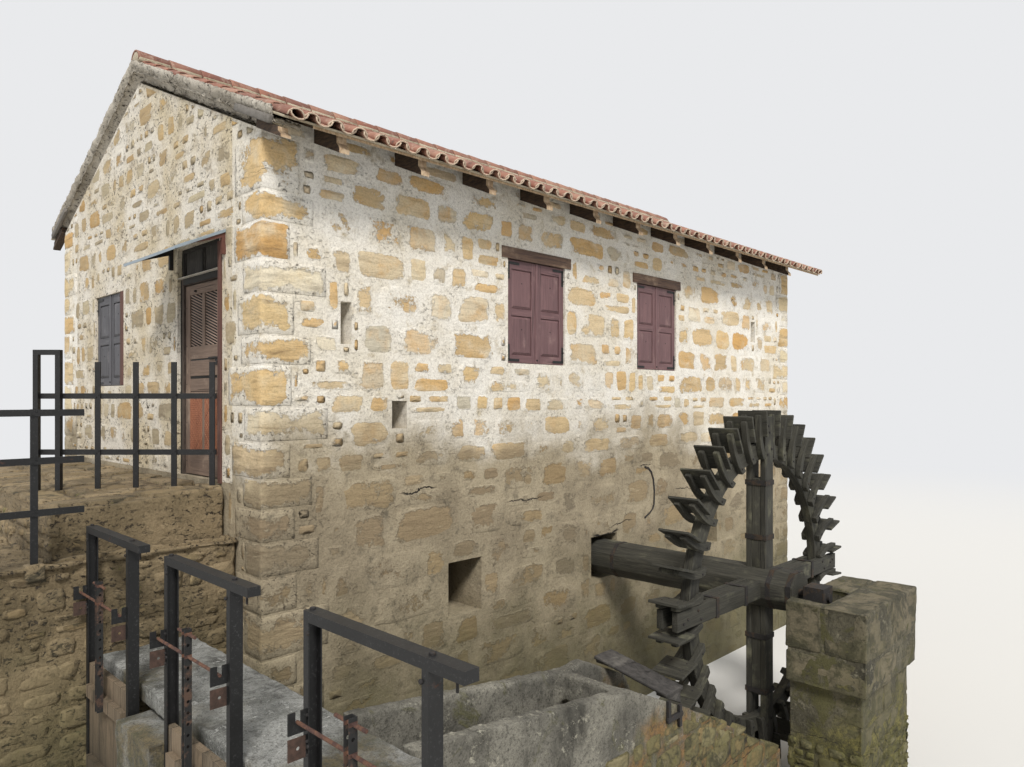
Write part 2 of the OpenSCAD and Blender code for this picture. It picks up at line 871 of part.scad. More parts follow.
// Square drilled rod plate upstream of a post. The upper one has an open notch that the locking rod lies in.
module rod_plate(z, open) {
    side = 110;
    difference() {
        translate([bar_x - side / 2, 0, z - side / 2]) cube([gate_x - post_d / 2 - bar_x + side / 2, steel_t, side]);
        translate([bar_x, -cut, z]) rotate([-90, 0, 0]) cylinder(d = rod_d + 2 * seat, h = 3 * cut);
        if (open) translate([bar_x - rod_d / 2 - 5, -cut, z]) cube([rod_d + 10, 3 * cut, side]);
    }
}

// Frame of one gate: two channel posts, a top beam and four rod plates.
module gate_frame(y) {
    post_h = frame_top - beam_h - sill_z;
    translate([gate_x, y - gate_slot_w / 2, sill_z]) channel_post(post_h);
    translate([gate_x, y + gate_slot_w / 2, sill_z]) mirror([0, 1, 0]) channel_post(post_h);
    block([gate_x - post_d / 2, y - gate_slot_w / 2 - beam_over, frame_top - beam_h],
          [gate_x + post_d / 2, y + gate_slot_w / 2, frame_top]);
    for (side = [-1, 1])
        translate([0, y + side * (gate_slot_w / 2 - 30) - steel_t / 2, 0]) {
            rod_plate(rod_z, true);
            rod_plate(rod_z - 130, false);
        }
}

module gate_frames() {
    in_place() color("dimgray") for (y = gate_ys) gate_frame(y);
}

// Gate of upright boards with two battens on its upstream face.
module gate_board(y) {
    half = gate_slot_w / 2 - steel_t - 7;
    union() {
        block([gate_x - gate_t / 2, y - half, gate_z], [gate_x + gate_t / 2, y + half, gate_z + gate_h]);
        for (z = [gate_z + 150, gate_z + gate_h - 250])
            block([gate_x - gate_t / 2 - batten_t, y - half + 70, z],
                  [gate_x - gate_t / 2, y + half - 70, z + 100]);
    }
}

// Lifting channel upstream of the gate, open upstream, drilled in a row through both flanges.
module lifting_bar(y) {
    low = gate_z + gate_h - 250;
    holes = floor((bar_top - low - 250) / bar_hole_pitch);
    difference() {
        block([bar_x - bar_w / 2, y - bar_w / 2, low], [bar_x + bar_w / 2, y + bar_w / 2, bar_top]);
        block([bar_x - bar_w, y - bar_w / 2 + bar_t, low - cut],
              [bar_x + bar_w / 2 - bar_t, y + bar_w / 2 - bar_t, bar_top + cut]);
        for (i = [0 : holes])
            translate([bar_x, y - bar_w, rod_z + (2 - i) * bar_hole_pitch]) rotate([-90, 0, 0])
                cylinder(d = rod_d + 2 * seat, h = 2 * bar_w);
    }
}

// Round rod along Y through the lifting channel.
module lifting_rod(y, z, half) {
    translate([bar_x, y - half, z]) rotate([-90, 0, 0]) cylinder(d = rod_d, h = 2 * half);
}

module gate(y) {
    in_place() color("peru") {
        gate_board(y);
        lifting_bar(y);
        lifting_rod(y, rod_z, gate_span / 2);
        lifting_rod(y, rod_z + 2 * bar_hole_pitch, 125);
    }
}

module bank_gate() {
    gate(gate_ys[0]);
}

module middle_gate() {
    gate(gate_ys[1]);
}

module outer_gate() {
    gate(gate_ys[2]);
}

// Flume: a level trough from the sluice deck, then a chute down to the wheel.
trough_end_z = deck_z - trough_fall;
pier_x = wheel_x - 540;
// Crest of the front wall past the trough: the slope under the plank and the foot at the pier
crest_x = 2570;
crest_z = trough_end_z - 330;
foot_z = -3020;
// Chute: end of the rear wall and end of the bed under the wheel
chute_x = 2950;
chute_z = crest_z - 380;
bed_end_x = 3500;
plank_slope = (trough_end_z - crest_z) / (crest_x - trough_end_x);

// Height of the rear wall's crest, which carries the plank's upper end
function rear_z(x) = trough_end_z - (x - trough_end_x) * plank_slope + rear_rise;

module flume_bed() {
    in_place() color("darkgray") along_y(trough_in_y, trough_out_y) polygon([
        [deck_x, -base_depth], [bed_end_x, -base_depth], [bed_end_x, -base_depth + 250],
        [chute_x, -base_depth + 500], [trough_end_x, trough_end_z - trough_depth], [deck_x, deck_z - trough_depth]
    ]);
}

module flume_walls() {
    in_place() color("silver") {
        along_y(trough_y, trough_in_y) polygon([
            [deck_x, -base_depth], [pier_x, -base_depth], [pier_x, foot_z],
            [crest_x + 150, crest_z - 150 * plank_slope], [trough_end_x, trough_end_z], [deck_x, deck_z]
        ]);
        along_y(trough_out_y, trough_out_y + trough_wall_t) polygon([
            [deck_x, -base_depth], [chute_x, -base_depth], [chute_x, chute_z],
            [crest_x + 150, rear_z(crest_x + 150)], [trough_end_x + 220, rear_z(trough_end_x + 220)],
            [trough_end_x, trough_end_z], [deck_x, deck_z]
        ]);
        along_y(trough_in_y, trough_out_y) polygon([
            [trough_end_x - trough_wall_t, trough_end_z - 250], [trough_end_x, trough_end_z - 250],
            [trough_end_x, trough_end_z], [trough_end_x - trough_wall_t, trough_end_z + 20]
        ]);
    }
}

// Wedge that carries the plank's lower edge on a sloping crest, which has height z at the plank's upper edge.
module cover_wedge(x0, y0, y1, z) {
    near = 30;
    far = cover_w - 15;
    top = z + cover_t * 0.75;
    along_y(y0 + 10, y1) polygon([
        [x0 + near, z + seat - near * plank_slope], [x0 + far, z + seat - far * plank_slope],
        [x0 + far, top], [x0 + near, top]
    ]);
}

// Plank across the chute, from the front wall up to the higher rear wall, with a wedge on each.
module flume_cover() {
    bearing = trough_wall_t - 10;
    side = atan(rear_rise / (trough_w + bearing));
    x0 = crest_x - 230;
    z0 = trough_end_z - (x0 - trough_end_x) * plank_slope;
    in_place() color("slategray") {
        translate([x0, trough_in_y - bearing, z0 + seat]) rotate([side, 0, 0])
            cube([cover_w, bearing + trough_w + trough_wall_t, cover_t]);
        cover_wedge(x0, trough_in_y - bearing, trough_in_y - 10, z0);
        cover_wedge(x0, trough_out_y, trough_out_y + bearing - 10, z0 + rear_rise);
    }
}

// Pier under the wheel's outer bearing, with a seat cut for the shaft end.
module wheel_pier() {
    x1 = pier_x + pier_len;
    y1 = pier_y + pier_w;
    in_place() color("darkkhaki") difference() {
        union() {
            block([pier_x + pier_lip, pier_y + pier_lip, -base_depth], [x1 - pier_lip, y1, pier_top - pier_cap_h]);
            block([pier_x, pier_y, pier_top - pier_cap_h], [x1, y1, pier_top]);
        }
        block([wheel_x - 300, y1 - 380, bearing_floor], [wheel_x + 300, y1 + cut, pier_top + cut]);
    }
}

bearing_floor = wheel_z - 170;
bearing_y = pier_y + pier_w - 280;

// Bearing block with a true bore for a gudgeon.
module bearing(y0, y1, z0, half) {
    difference() {
        block([wheel_x - half, y0, z0], [wheel_x + half, y1, wheel_z + gudgeon_d / 2 + 60]);
        translate([wheel_x, y0 - cut, wheel_z]) rotate([-90, 0, 0])
            cylinder(d = gudgeon_d + 0.1, h = y1 - y0 + 2 * cut);
    }
}

module shaft_bearings() {
    in_place() color("cadetblue") {
        bearing(bearing_y, bearing_y + 230, bearing_floor, 130);
        bearing(inner_bearing_y + 60, wall_t - 40, wheel_z - shaft_hole / 2, shaft_hole / 2);
    }
}

shaft_y0 = pier_y + pier_w + 40;
shaft_y1 = inner_bearing_y;

// Octagonal shaft along Y on the wheel axis.
module octagon_shaft(y0, y1, d) {
    translate([wheel_x, y0, wheel_z]) rotate([-90, 22.5, 0]) cylinder(d = d / cos(22.5), h = y1 - y0, $fn = 8);
}

module on_axis() {
    translate([wheel_x, wheel_y, wheel_z]) children();
}

module wheel_shaft() {
    in_place() color("saddlebrown") difference() {
        octagon_shaft(shaft_y0, shaft_y1, shaft_d);
        on_axis() upright_arm(seat);
        for (y = [shaft_y0, shaft_y1])
            translate([wheel_x, y - 200, wheel_z]) rotate([-90, 0, 0]) cylinder(d = gudgeon_d + 2 * seat, h = 400);
        hoop_seats(seat);
    }
}

// Iron hoops let into the shaft near its ends and beside the wheel.
hoop_ys = [shaft_y0 + 20, shaft_y0 + 260, -330];

module hoop_seats(grow) {
    for (y = hoop_ys)
        difference() {
            octagon_shaft(y - grow, y + strap_w + grow, shaft_d + 2 * cut);
            octagon_shaft(y - cut, y + strap_w + cut, shaft_d - 2 * strap_t - 2 * grow);
        }
}

module shaft_hoops() {
    for (y = hoop_ys)
        difference() {
            octagon_shaft(y, y + strap_w, shaft_d + strap_t);
            octagon_shaft(y - cut, y + strap_w + cut, shaft_d - 2 * strap_t);
        }
}

// One arm, a pair of planks on both sides of the rim, along +Z from a radius to its end.
module arm_pair(r0, grow) {
    for (side = [-1, 1])
        translate([-arm_w / 2 - grow, side * (rim_w + arm_t + 2 * seat) / 2 - arm_t / 2 - grow, r0])
            cube([arm_w + 2 * grow, arm_t + 2 * grow, arm_r - r0 + grow]);
}

// The upright arms pass through the shaft in one length.
module upright_arm(grow) {
    arm_pair(0, grow);
    rotate([0, 180, 0]) arm_pair(0, grow);
}

module wheel_arms() {
    r0 = shaft_d / 2 + seat;
    in_place() color("dimgray") on_axis() {
        upright_arm(0);
        for (a = [90, 270]) rotate([0, a, 0]) arm_pair(r0, 0);
        for (a = [0 : 90 : 270]) rotate([0, a, 0]) arm_packing(r0);
    }
}

// Packing timber between the planks of an arm, on the inner part of its length.
module arm_packing(r0) {
    translate([-arm_w / 2 + 10, -rim_w / 2, r0]) cube([arm_w - 20, rim_w, packing_r - r0]);
}

strap_rs = [590, 1240];

// Strap round one arm at a radius.
module arm_strap(r) {
    depth = rim_w + 2 * arm_t + 2 * seat;
    difference() {
        translate([-arm_w / 2 - strap_t, -depth / 2 - strap_t, r - strap_w / 2])
            cube([arm_w + 2 * strap_t, depth + 2 * strap_t, strap_w]);
        translate([-arm_w / 2 - seat, -depth / 2 - seat, r - strap_w])
            cube([arm_w + 2 * seat, depth + 2 * seat, 2 * strap_w]);
    }
}

module wheel_irons() {
    in_place() color("dimgray") {
        shaft_hoops();
        on_axis() for (a = [0 : 90 : 270]) rotate([0, a, 0]) for (r = strap_rs) arm_strap(r);
        gudgeon(bearing_y - 30, shaft_y0 + 200);
        gudgeon(shaft_y1 - 200, wall_t - 20);
    }
}

module gudgeon(y0, y1) {
    translate([wheel_x, y0, wheel_z]) rotate([-90, 0, 0]) cylinder(d = gudgeon_d, h = y1 - y0);
}

module wheel_rim() {
    in_place() color("dimgray") on_axis() rotate([90, 0, 0]) difference() {
        cylinder(r = rim_ro, h = rim_w, center = true, $fn = 128);
        cylinder(r = rim_ri, h = rim_w + cut, center = true, $fn = 128);
    }
}

float_step = 360 / float_count;
// Turn of the first float, so that each arm stands midway between two floats
float_phase = float_step / 2;

// Outline of a float board on the +X radius.
module float_outline(grow) {
    translate([float_r - grow, -float_t / 2 - grow])
        square([tip_r - float_r + 2 * grow, float_t + 2 * grow]);
}

// Edge point of a start: it lies flat on its board and bends back to its foot on the rim.
start_r0 = rim_ri + 10;
start_r1 = tip_r - start_end;
function start_point(t, side) =
    let (r = start_r0 + (start_r1 - start_r0) * t,
         w = start_foot * (1 - t) + start_tip * t,
         bend = start_bend * pow(1 - min(1, t * 1.6), 2))
    [r, float_t / 2 + seat - bend + (side > 0 ? w : 0)];

module start_outline() {
    n = 7;
    difference() {
        polygon(concat(
            [for (i = [0 : n]) start_point(i / n, -1)],
            [for (i = [n : -1 : 0]) start_point(i / n, 1)]
        ));
        float_outline(seat);
    }
}

// Outline of one start in its place, trimmed where it stands beside an arm.
module placed_start(i) {
    per_arm = float_count / 4;
    difference() {
        rotate(float_phase + i * float_step) start_outline();
        if (i % per_arm == 0 || i % per_arm == per_arm - 1)
            for (a = [0 : 90 : 270])
                rotate(a) translate([0, -arm_w / 2 - 5]) square([arm_r + cut, arm_w + 10]);
    }
}

// Outlines in the wheel's plane, extruded about a place beside its middle plane.
module across_wheel(y, w) {
    in_place() color("dimgray") on_axis() rotate([90, 0, 0]) translate([0, 0, -y])
        linear_extrude(w, center = true) children();
}

module wheel_starts() {
    for (side = [-1, 1], i = [0 : float_count - 1])
        across_wheel(side * (rim_w + start_w + 2 * seat) / 2, start_w) placed_start(i);
}

module wheel_floats() {
    for (i = [0 : float_count - 1])
        across_wheel(0, float_w) rotate(float_phase + i * float_step) float_outline(0);
}

waterside_wall_lower();
waterside_wall_upper();
back_wall();
far_gable_wall();
door_gable_lower();
door_gable_left();
door_gable_right();
door_gable_over();
mill_floor();
ridge_beam();
rafters();
roof_boards();
waterside_tiles();
back_tiles();
ridge_tiles();
verge_stones();
window_lintels();
window_frames();
waterside_shutters();
back_shutters();
gable_shutters();
door_frame();
door_transom();
door_leaf();
door_canopy();
terrace();
bank_wall();
terrace_railing();
bank_railing();
sluice_sill();
sluice_piers();
sluice_deck();
gate_frames();
bank_gate();
middle_gate();
outer_gate();
flume_bed();
flume_walls();
flume_cover();
wheel_pier();
shaft_bearings();
wheel_shaft();
wheel_irons();
wheel_arms();
wheel_rim();
wheel_starts();
wheel_floats();
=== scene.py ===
"""Looks of the watermill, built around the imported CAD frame. Places are in metres from the corner of the
waterside wall and the door gable at the height of the door sill, and ORIGIN moves them to the frame."""

import json
import math
import random

import bpy
import numpy as np
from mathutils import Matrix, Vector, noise

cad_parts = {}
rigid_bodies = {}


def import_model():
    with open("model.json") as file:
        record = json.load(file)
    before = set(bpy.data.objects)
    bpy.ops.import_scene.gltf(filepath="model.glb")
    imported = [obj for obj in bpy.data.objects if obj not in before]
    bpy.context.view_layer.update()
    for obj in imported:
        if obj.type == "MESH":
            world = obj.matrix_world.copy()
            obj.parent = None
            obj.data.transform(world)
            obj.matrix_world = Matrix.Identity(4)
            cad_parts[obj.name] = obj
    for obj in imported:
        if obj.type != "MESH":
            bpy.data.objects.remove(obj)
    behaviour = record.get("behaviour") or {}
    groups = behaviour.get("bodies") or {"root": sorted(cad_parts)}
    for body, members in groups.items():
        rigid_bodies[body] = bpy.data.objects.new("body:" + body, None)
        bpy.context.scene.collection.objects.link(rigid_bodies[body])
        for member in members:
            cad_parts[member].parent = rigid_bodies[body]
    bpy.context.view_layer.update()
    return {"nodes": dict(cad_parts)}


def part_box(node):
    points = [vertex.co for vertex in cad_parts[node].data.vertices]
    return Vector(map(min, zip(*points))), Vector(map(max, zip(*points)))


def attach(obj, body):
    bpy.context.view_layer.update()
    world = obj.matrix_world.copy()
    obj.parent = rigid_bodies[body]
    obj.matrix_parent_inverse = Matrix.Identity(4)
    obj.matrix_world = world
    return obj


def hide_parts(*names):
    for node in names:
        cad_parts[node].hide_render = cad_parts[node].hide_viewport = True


for old in list(bpy.data.objects):
    bpy.data.objects.remove(old)
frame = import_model()
nodes = frame["nodes"]
ORIGIN = np.array(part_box("waterside_wall_upper")[0])

LENGTH, WIDTH, BASE, EAVE = 11.2, 6.2, -3.7, 3.33
PITCH = math.radians(23.5)
SLOPE = math.tan(PITCH)
RUN = math.cos(PITCH)
RIDGE = EAVE + WIDTH / 2 * SLOPE
X, Y, Z = np.eye(3)
WINDOW_LEFTS, WINDOW_SILL, WINDOW_HEAD, WINDOW_WIDTH = (3.24, 6.0), 1.275, 2.575, 1.09
rng = random.Random(7)


# Materials

def rgb(code):
    """A written colour as the linear values that sockets take."""
    parts = [int(code[i:i + 2], 16) / 255 for i in (1, 3, 5)]
    return tuple(c / 12.92 if c < 0.04045 else ((c + 0.055) / 1.055) ** 2.4 for c in parts) + (1.0,)


def put(tree, socket, value):
    """Gives a socket a value or a written colour, or links it to another socket."""
    if isinstance(value, bpy.types.NodeSocket):
        tree.links.new(value, socket)
    else:
        socket.default_value = rgb(value) if isinstance(value, str) else value


def add_node(tree, kind, values, **settings):
    """A new shader node with its settings and with what goes into its sockets."""
    made = tree.nodes.new("ShaderNode" + kind)
    for key, value in settings.items():
        setattr(made, key, value)
    for key, value in values.items():
        put(tree, made.inputs[key], value)
    return made


class Paint:
    """One node material. Pieces bring their own grain coordinates, tone and edge, and CAD nodes use object
    coordinates instead."""

    def __init__(self, name, roughness=0.85, own=True):
        self.mat = bpy.data.materials.new(name)
        self.mat.use_nodes = True
        self.tree = self.mat.node_tree
        self.tree.nodes.clear()
        self.shader = self.node("BsdfPrincipled", {"Roughness": roughness})
        self.out = self.node("OutputMaterial", {0: self.shader.outputs[0]})
        self.world = self.node("TexCoord").outputs["Object"]
        self.grain = self.carried("grain", "Vector") if own else self.world
        self.tone, self.edge = self.carried("tone", "Fac"), self.carried("edge", "Fac")

    def node(self, kind, values=None, **settings):
        return add_node(self.tree, kind, values or {}, **settings)

    def carried(self, name, output):
        """What each point of a piece carries under a name."""
        return self.node("Attribute", attribute_name=name).outputs[output]

    def stretch(self, by, vector=None):
        return self.node("Mapping", {"Vector": vector or self.grain, "Scale": by}).outputs[0]

    def noise(self, scale, detail=3.0, rough=0.55, warp=0.0, by=(1, 1, 1), vector=None):
        """Fractal noise on the grain coordinates, or on a given vector, with its own scale for each axis."""
        return self.node("TexNoise", {
            "Vector": self.stretch(by, vector), "Scale": scale, "Detail": detail, "Roughness": rough,
            "Distortion": warp}).outputs["Fac"]

    def cloud(self, *shape, **more):
        """Fractal noise on the object coordinates, the same for all pieces."""
        return self.noise(*shape, vector=self.world, **more)

    def seams(self, scale, by, vector, share, bend, detail):
        """The distance to the edges of cells, which noise bends so that they wander."""
        wander = self.node("TexNoise", {"Vector": vector, "Scale": bend, "Detail": detail})
        bent = self.mix(share, vector, wander.outputs["Color"])
        return self.node("TexVoronoi", {"Vector": self.stretch(by, bent), "Scale": scale},
                         feature="DISTANCE_TO_EDGE").outputs["Distance"]

    def span(self, value, low, high, out_low=0.0, out_high=1.0):
        return self.node("MapRange", {
            0: value, 1: low, 2: high, 3: out_low, 4: out_high}, interpolation_type="SMOOTHSTEP").outputs[0]

    def both(self, *fields):
        """High where all fields are high. Each is a value with its low and high."""
        whole, *others = [self.span(*field) for field in fields]
        for other in others:
            whole = self.times(whole, other)
        return whole

    def calc(self, operation, a, b=0.0):
        return self.node("Math", {0: a, 1: b}, operation=operation).outputs[0]

    def times(self, a, b):
        return self.calc("MULTIPLY", a, b)

    def plus(self, a, b):
        return self.calc("ADD", a, b)

    def minus(self, a, b):
        return self.calc("SUBTRACT", a, b)

    def swing(self, value, size):
        """How far a value is from its middle, times a size."""
        return self.times(self.minus(value, 0.5), size)

    def mix(self, factor, a, b, blend="MIX"):
        return self.node("Mix", {0: factor, 6: a, 7: b}, data_type="RGBA", blend_type=blend,
                         clamp_result=True).outputs[2]

    def veil(self, body, colour, value, low, high, most=1.0, blend="MIX"):
        """A colour laid over the body as a value goes from low to high."""
        return self.mix(self.span(value, low, high, 0, most), body, colour, blend)

    def stain(self, body, colour, mask, share):
        return self.mix(self.times(mask, share), body, colour)

    def steps(self, value, colours):
        made = self.node("ValToRGB", {"Fac": value})
        elements = made.color_ramp.elements
        for i, colour in enumerate(colours):
            place = i / (len(colours) - 1)
            stop = elements[i] if i < 2 else elements.new(place)
            stop.position = place
            stop.color = rgb(colour)
        return made.outputs["Color"]

    def place(self, axis):
        """A coordinate in metres in the frame. Axis 2 is the height above the ground."""
        return self.node("SeparateXYZ", {0: self.world}).outputs[axis]

    def less(self, axis, limit):
        """1 where a coordinate, counted from the front corner, is below a limit."""
        return self.calc("LESS_THAN", self.place(axis), float(ORIGIN[axis]) + limit)

    def finish(self, colour, bump, depth, strength=0.6, roughness=None):
        relief = self.node("Bump", {"Height": bump, "Strength": strength, "Distance": depth})
        values = {"Base Color": colour, "Normal": relief.outputs[0]}
        if roughness:
            values["Roughness"] = roughness
        for key, value in values.items():
            put(self.tree, self.shader.inputs[key], value)
        return self.mat


DIRT_LINE = 4.1


def above(p, line=DIRT_LINE, spread=0.9):
    """0 well below a height on the wall and 1 well above it, with a cloudy edge."""
    place = p.plus(p.place(2), p.swing(p.cloud(0.9, 5), 2.4))
    return p.span(place, line - spread / 2, line + spread / 2)


def lime(p, upper, lower, pits):
    """Colour and relief of old lime mortar, the same on a wall face and where it is smeared over the stones.
    Upper and lower are its light, dark and dirt colours above and below the dirt line."""
    shade = p.span(p.cloud(1.3, 5), 0.35, 0.7)
    spoil = p.span(p.cloud(6, 6, 0.68), 0.52, 0.78)
    fine = p.cloud(46, 4, 0.8)
    high, low = (p.mix(spoil, p.mix(shade, a, b), c) for a, b, c in (upper, lower))
    body = p.mix(above(p), low, high)
    body = p.veil(body, "#7f7262", fine, 0.42, 0.66, 0.32, "MULTIPLY")
    fleck = p.both((p.cloud(34, 3, 0.6, 0.6), 0.64, 0.69), (p.cloud(1.7, 3), 0.4, 0.6))
    body = p.stain(body, "#5b4e3d", fleck, 0.6)
    hole = p.both((p.cloud(22, 4, 0.7, 0.5, by=(1, 1, 1.5)), 0.57, 0.63),
                  (p.cloud(2.6, 2), 0.53 - 0.2 * pits, 0.66 - 0.2 * pits))
    hole = p.times(hole, pits)
    relief = p.plus(p.cloud(13, 7, 0.72), p.times(fine, 0.5))
    return p.mix(hole, body, "#41382c"), p.minus(relief, hole)


CRACKS = ((4.90, 5.57, -1.095, 0.0, 0.022), (3.19, 3.93, -0.468, 0.04, 0.007),
          (1.56, 2.12, -0.19, 0.01, 0.012), (6.02, 6.42, -0.19, 0.05, 0.008),
          (5.3, 5.9, -1.02, 0.1, 0.009), (7.0, 8.1, -0.62, -0.05, 0.006))


def cracked(p, body, relief):
    """The long open cracks of the waterside wall: from x, to x, height, rise and half width of each."""
    x, z = (p.minus(p.place(axis), float(ORIGIN[axis])) for axis in (0, 2))
    wander = p.swing(p.cloud(2.6, 7, 0.66), 0.22)
    whole = 0.0
    for x0, x1, high, rise, half in CRACKS:
        line = p.plus(p.times(p.minus(x, x0), rise), high)
        off = p.calc("ABSOLUTE", p.plus(p.minus(z, line), wander))
        mask = p.both((off, half, half * 0.4), (x, x0, x0 + 0.12), (x, x1, x1 - 0.12))
        whole = p.calc("MAXIMUM", mask, whole)
    whole = p.times(whole, p.less(1, 0.1))
    return p.mix(whole, body, "#1f1912"), p.minus(relief, whole)


def damp_foot(p, body, amount):
    """Moss and wet stains that climb from the ground."""
    wet = p.plus(p.place(2), p.times(p.cloud(1.1, 5, 0.65), 2.6))
    green = p.mix(p.cloud(5, 4), "#3f3d2a", "#5f5c35")
    return p.stain(body, green, p.span(wet, 4.4, 1.7), amount)


def mortar_paint(name, upper, lower=None, pits=0.3, damp=0.0, depth=0.02):
    """A wall's mortar ground. One with a lower colour is cracked."""
    p = Paint(name, 0.95, own=False)
    body, relief = lime(p, upper, lower or upper, pits)
    if damp:
        body = damp_foot(p, body, damp)
    if lower:
        body, relief = cracked(p, body, relief)
    return p.finish(body, relief, depth, 0.85)


def stone_paint(name, colours, upper, lower=None, low_colours=None, smear=0.5, pits=0.3, damp=0.0, layers=0.5,
                dark="#5d4a34", grime=0.0):
    """Sandstone: a colour for each stone, layered streaks, fissures, and mortar smeared over the rims."""
    p = Paint(name, 0.9)
    body = p.steps(p.tone, colours)
    body = p.mix(p.span(p.noise(3.2, 5, 0.6), 0.42, 0.72, 0, 0.7), body, p.steps(p.noise(2.3), colours[::-1]))
    high = above(p)
    if low_colours:
        body = p.mix(high, p.steps(p.tone, low_colours), body)
    body = p.veil(body, dark, p.noise(4.2, 6, 0.68, 0.5, (0.45, 3.2, 1)), 0.46, 0.8, layers)
    body = p.veil(body, colours[0], p.noise(7, 4, 0.7, 0.4, (0.4, 3.0, 1)), 0.6, 0.75, 0.5)
    grit = p.noise(44, 3, 0.78)
    body = p.veil(body, "#77674f", grit, 0.35, 0.8, 0.36, "MULTIPLY")
    fissure = p.seams(4.6, (0.4, 1.7, 1), p.grain, 0.14, 5.0, 4.0)
    crack = p.both((fissure, 0.014, 0.0), (p.noise(1.7), 0.5, 0.58))
    body = p.stain(body, "#3b2e20", crack, 0.8)
    ragged = p.plus(p.edge, p.swing(p.noise(0.6, 1), 2.0))
    for part in (p.swing(p.noise(8, 8, 0.78, 0.3), 2.1), p.swing(p.cloud(2.4, 3), 2.1),
                 p.times(p.minus(1.0, high), 0.2), p.swing(p.noise(36, 3, 0.7), 0.5)):
        ragged = p.plus(ragged, part)
    cover = p.span(ragged, 0.97 - smear, 1.14 - smear)
    coat, coat_relief = lime(p, upper, lower or upper, pits)
    body = p.mix(cover, body, coat)
    if grime:
        blot = p.span(p.cloud(3.4, 8, 0.75, 0.6), 0.62 - 0.2 * grime, 0.74 - 0.2 * grime)
        body = p.stain(body, "#2b2a1f", blot, 0.8)
        moss = p.span(p.cloud(5.2, 8, 0.78), 0.60, 0.66)
        body = p.stain(body, p.mix(p.noise(40), "#4a4a1c", "#84803a"), moss, 0.75)
    if damp:
        body = damp_foot(p, body, damp)
    relief = p.plus(p.times(grit, 0.3), p.noise(8, 7, 0.7, by=(0.6, 2.0, 1)))
    relief = p.minus(relief, p.times(crack, 0.7))
    relief = p.node("Mix", {0: cover, 2: relief, 3: p.plus(coat_relief, 0.22)}).outputs[0]
    if lower:
        body, relief = cracked(p, body, relief)
    return p.finish(body, relief, 0.022, 0.85)


def wood_paint(name, light, dark, worn, wear=0.5, rough=0.8, along=None):
    """Sawn wood: long fibres, checks and weathered patches. A CAD node gives how its fibres stretch along the
    object's axes, and a piece's own grain runs along its first one."""
    p = Paint(name, rough, own=along is None)
    a, b, c = along or (1, 9, 9)
    fibre = p.noise(9.1, 5, 0.7, 0.3, (a * 0.35, b, c))
    body = p.veil(dark, light, fibre, 0.3, 0.72)
    body = p.veil(body, dark, p.noise(1.6, by=(a * 0.4, b * 0.5, c * 0.5)), 0.35, 0.75, 0.55)
    if along is None:
        body = p.stain(body, light, p.tone, 0.35)
    least = 0.62 - 0.2 * wear
    body = p.veil(body, worn, p.noise(3.1, 5, 0.65, by=(0.8, 1.3, 1.3)), least, least + 0.24, 0.85)
    check = p.times(p.span(p.noise(7.8, 2, by=(a * 0.12, b * 0.9, c * 0.9)), 0.66, 0.72), 0.8)
    return p.finish(p.mix(check, body, "#15110d"), p.minus(fibre, check), 0.004)


def metal_paint(name, body, rust_light, rust_dark, amount, rough=0.55, own=False, rusty=0.9, rust_at=None):
    """Painted or bare iron with scuffs and blooms of rust, and rust all over where rust_at is 1."""
    p = Paint(name, rough, own=own)
    cover = p.span(p.noise(6.5, 7, 0.72, 0.4), 0.74 - 0.36 * amount, 0.82 - 0.34 * amount)
    if rust_at:
        cover = p.calc("MAXIMUM", cover, p.times(rust_at(p), p.span(p.noise(9, 5), 0.2, 0.4)))
    rust = p.veil(rust_dark, rust_light, p.noise(24, 5, 0.75), 0.3, 0.7)
    shade = p.veil(body, "#6a6a6a", p.noise(60, 4, 0.8), 0.55, 0.72, 0.35)
    shade = p.veil(shade, "#2c2a29", p.noise(3.3, 4), 0.45, 0.7, 0.5, "MULTIPLY")
    relief = p.plus(p.times(cover, 0.5), p.times(p.noise(70, 3, 0.7), 0.5))
    return p.finish(p.mix(cover, shade, rust), relief, 0.0015, roughness=p.span(cover, 0, 1, rough, rusty))


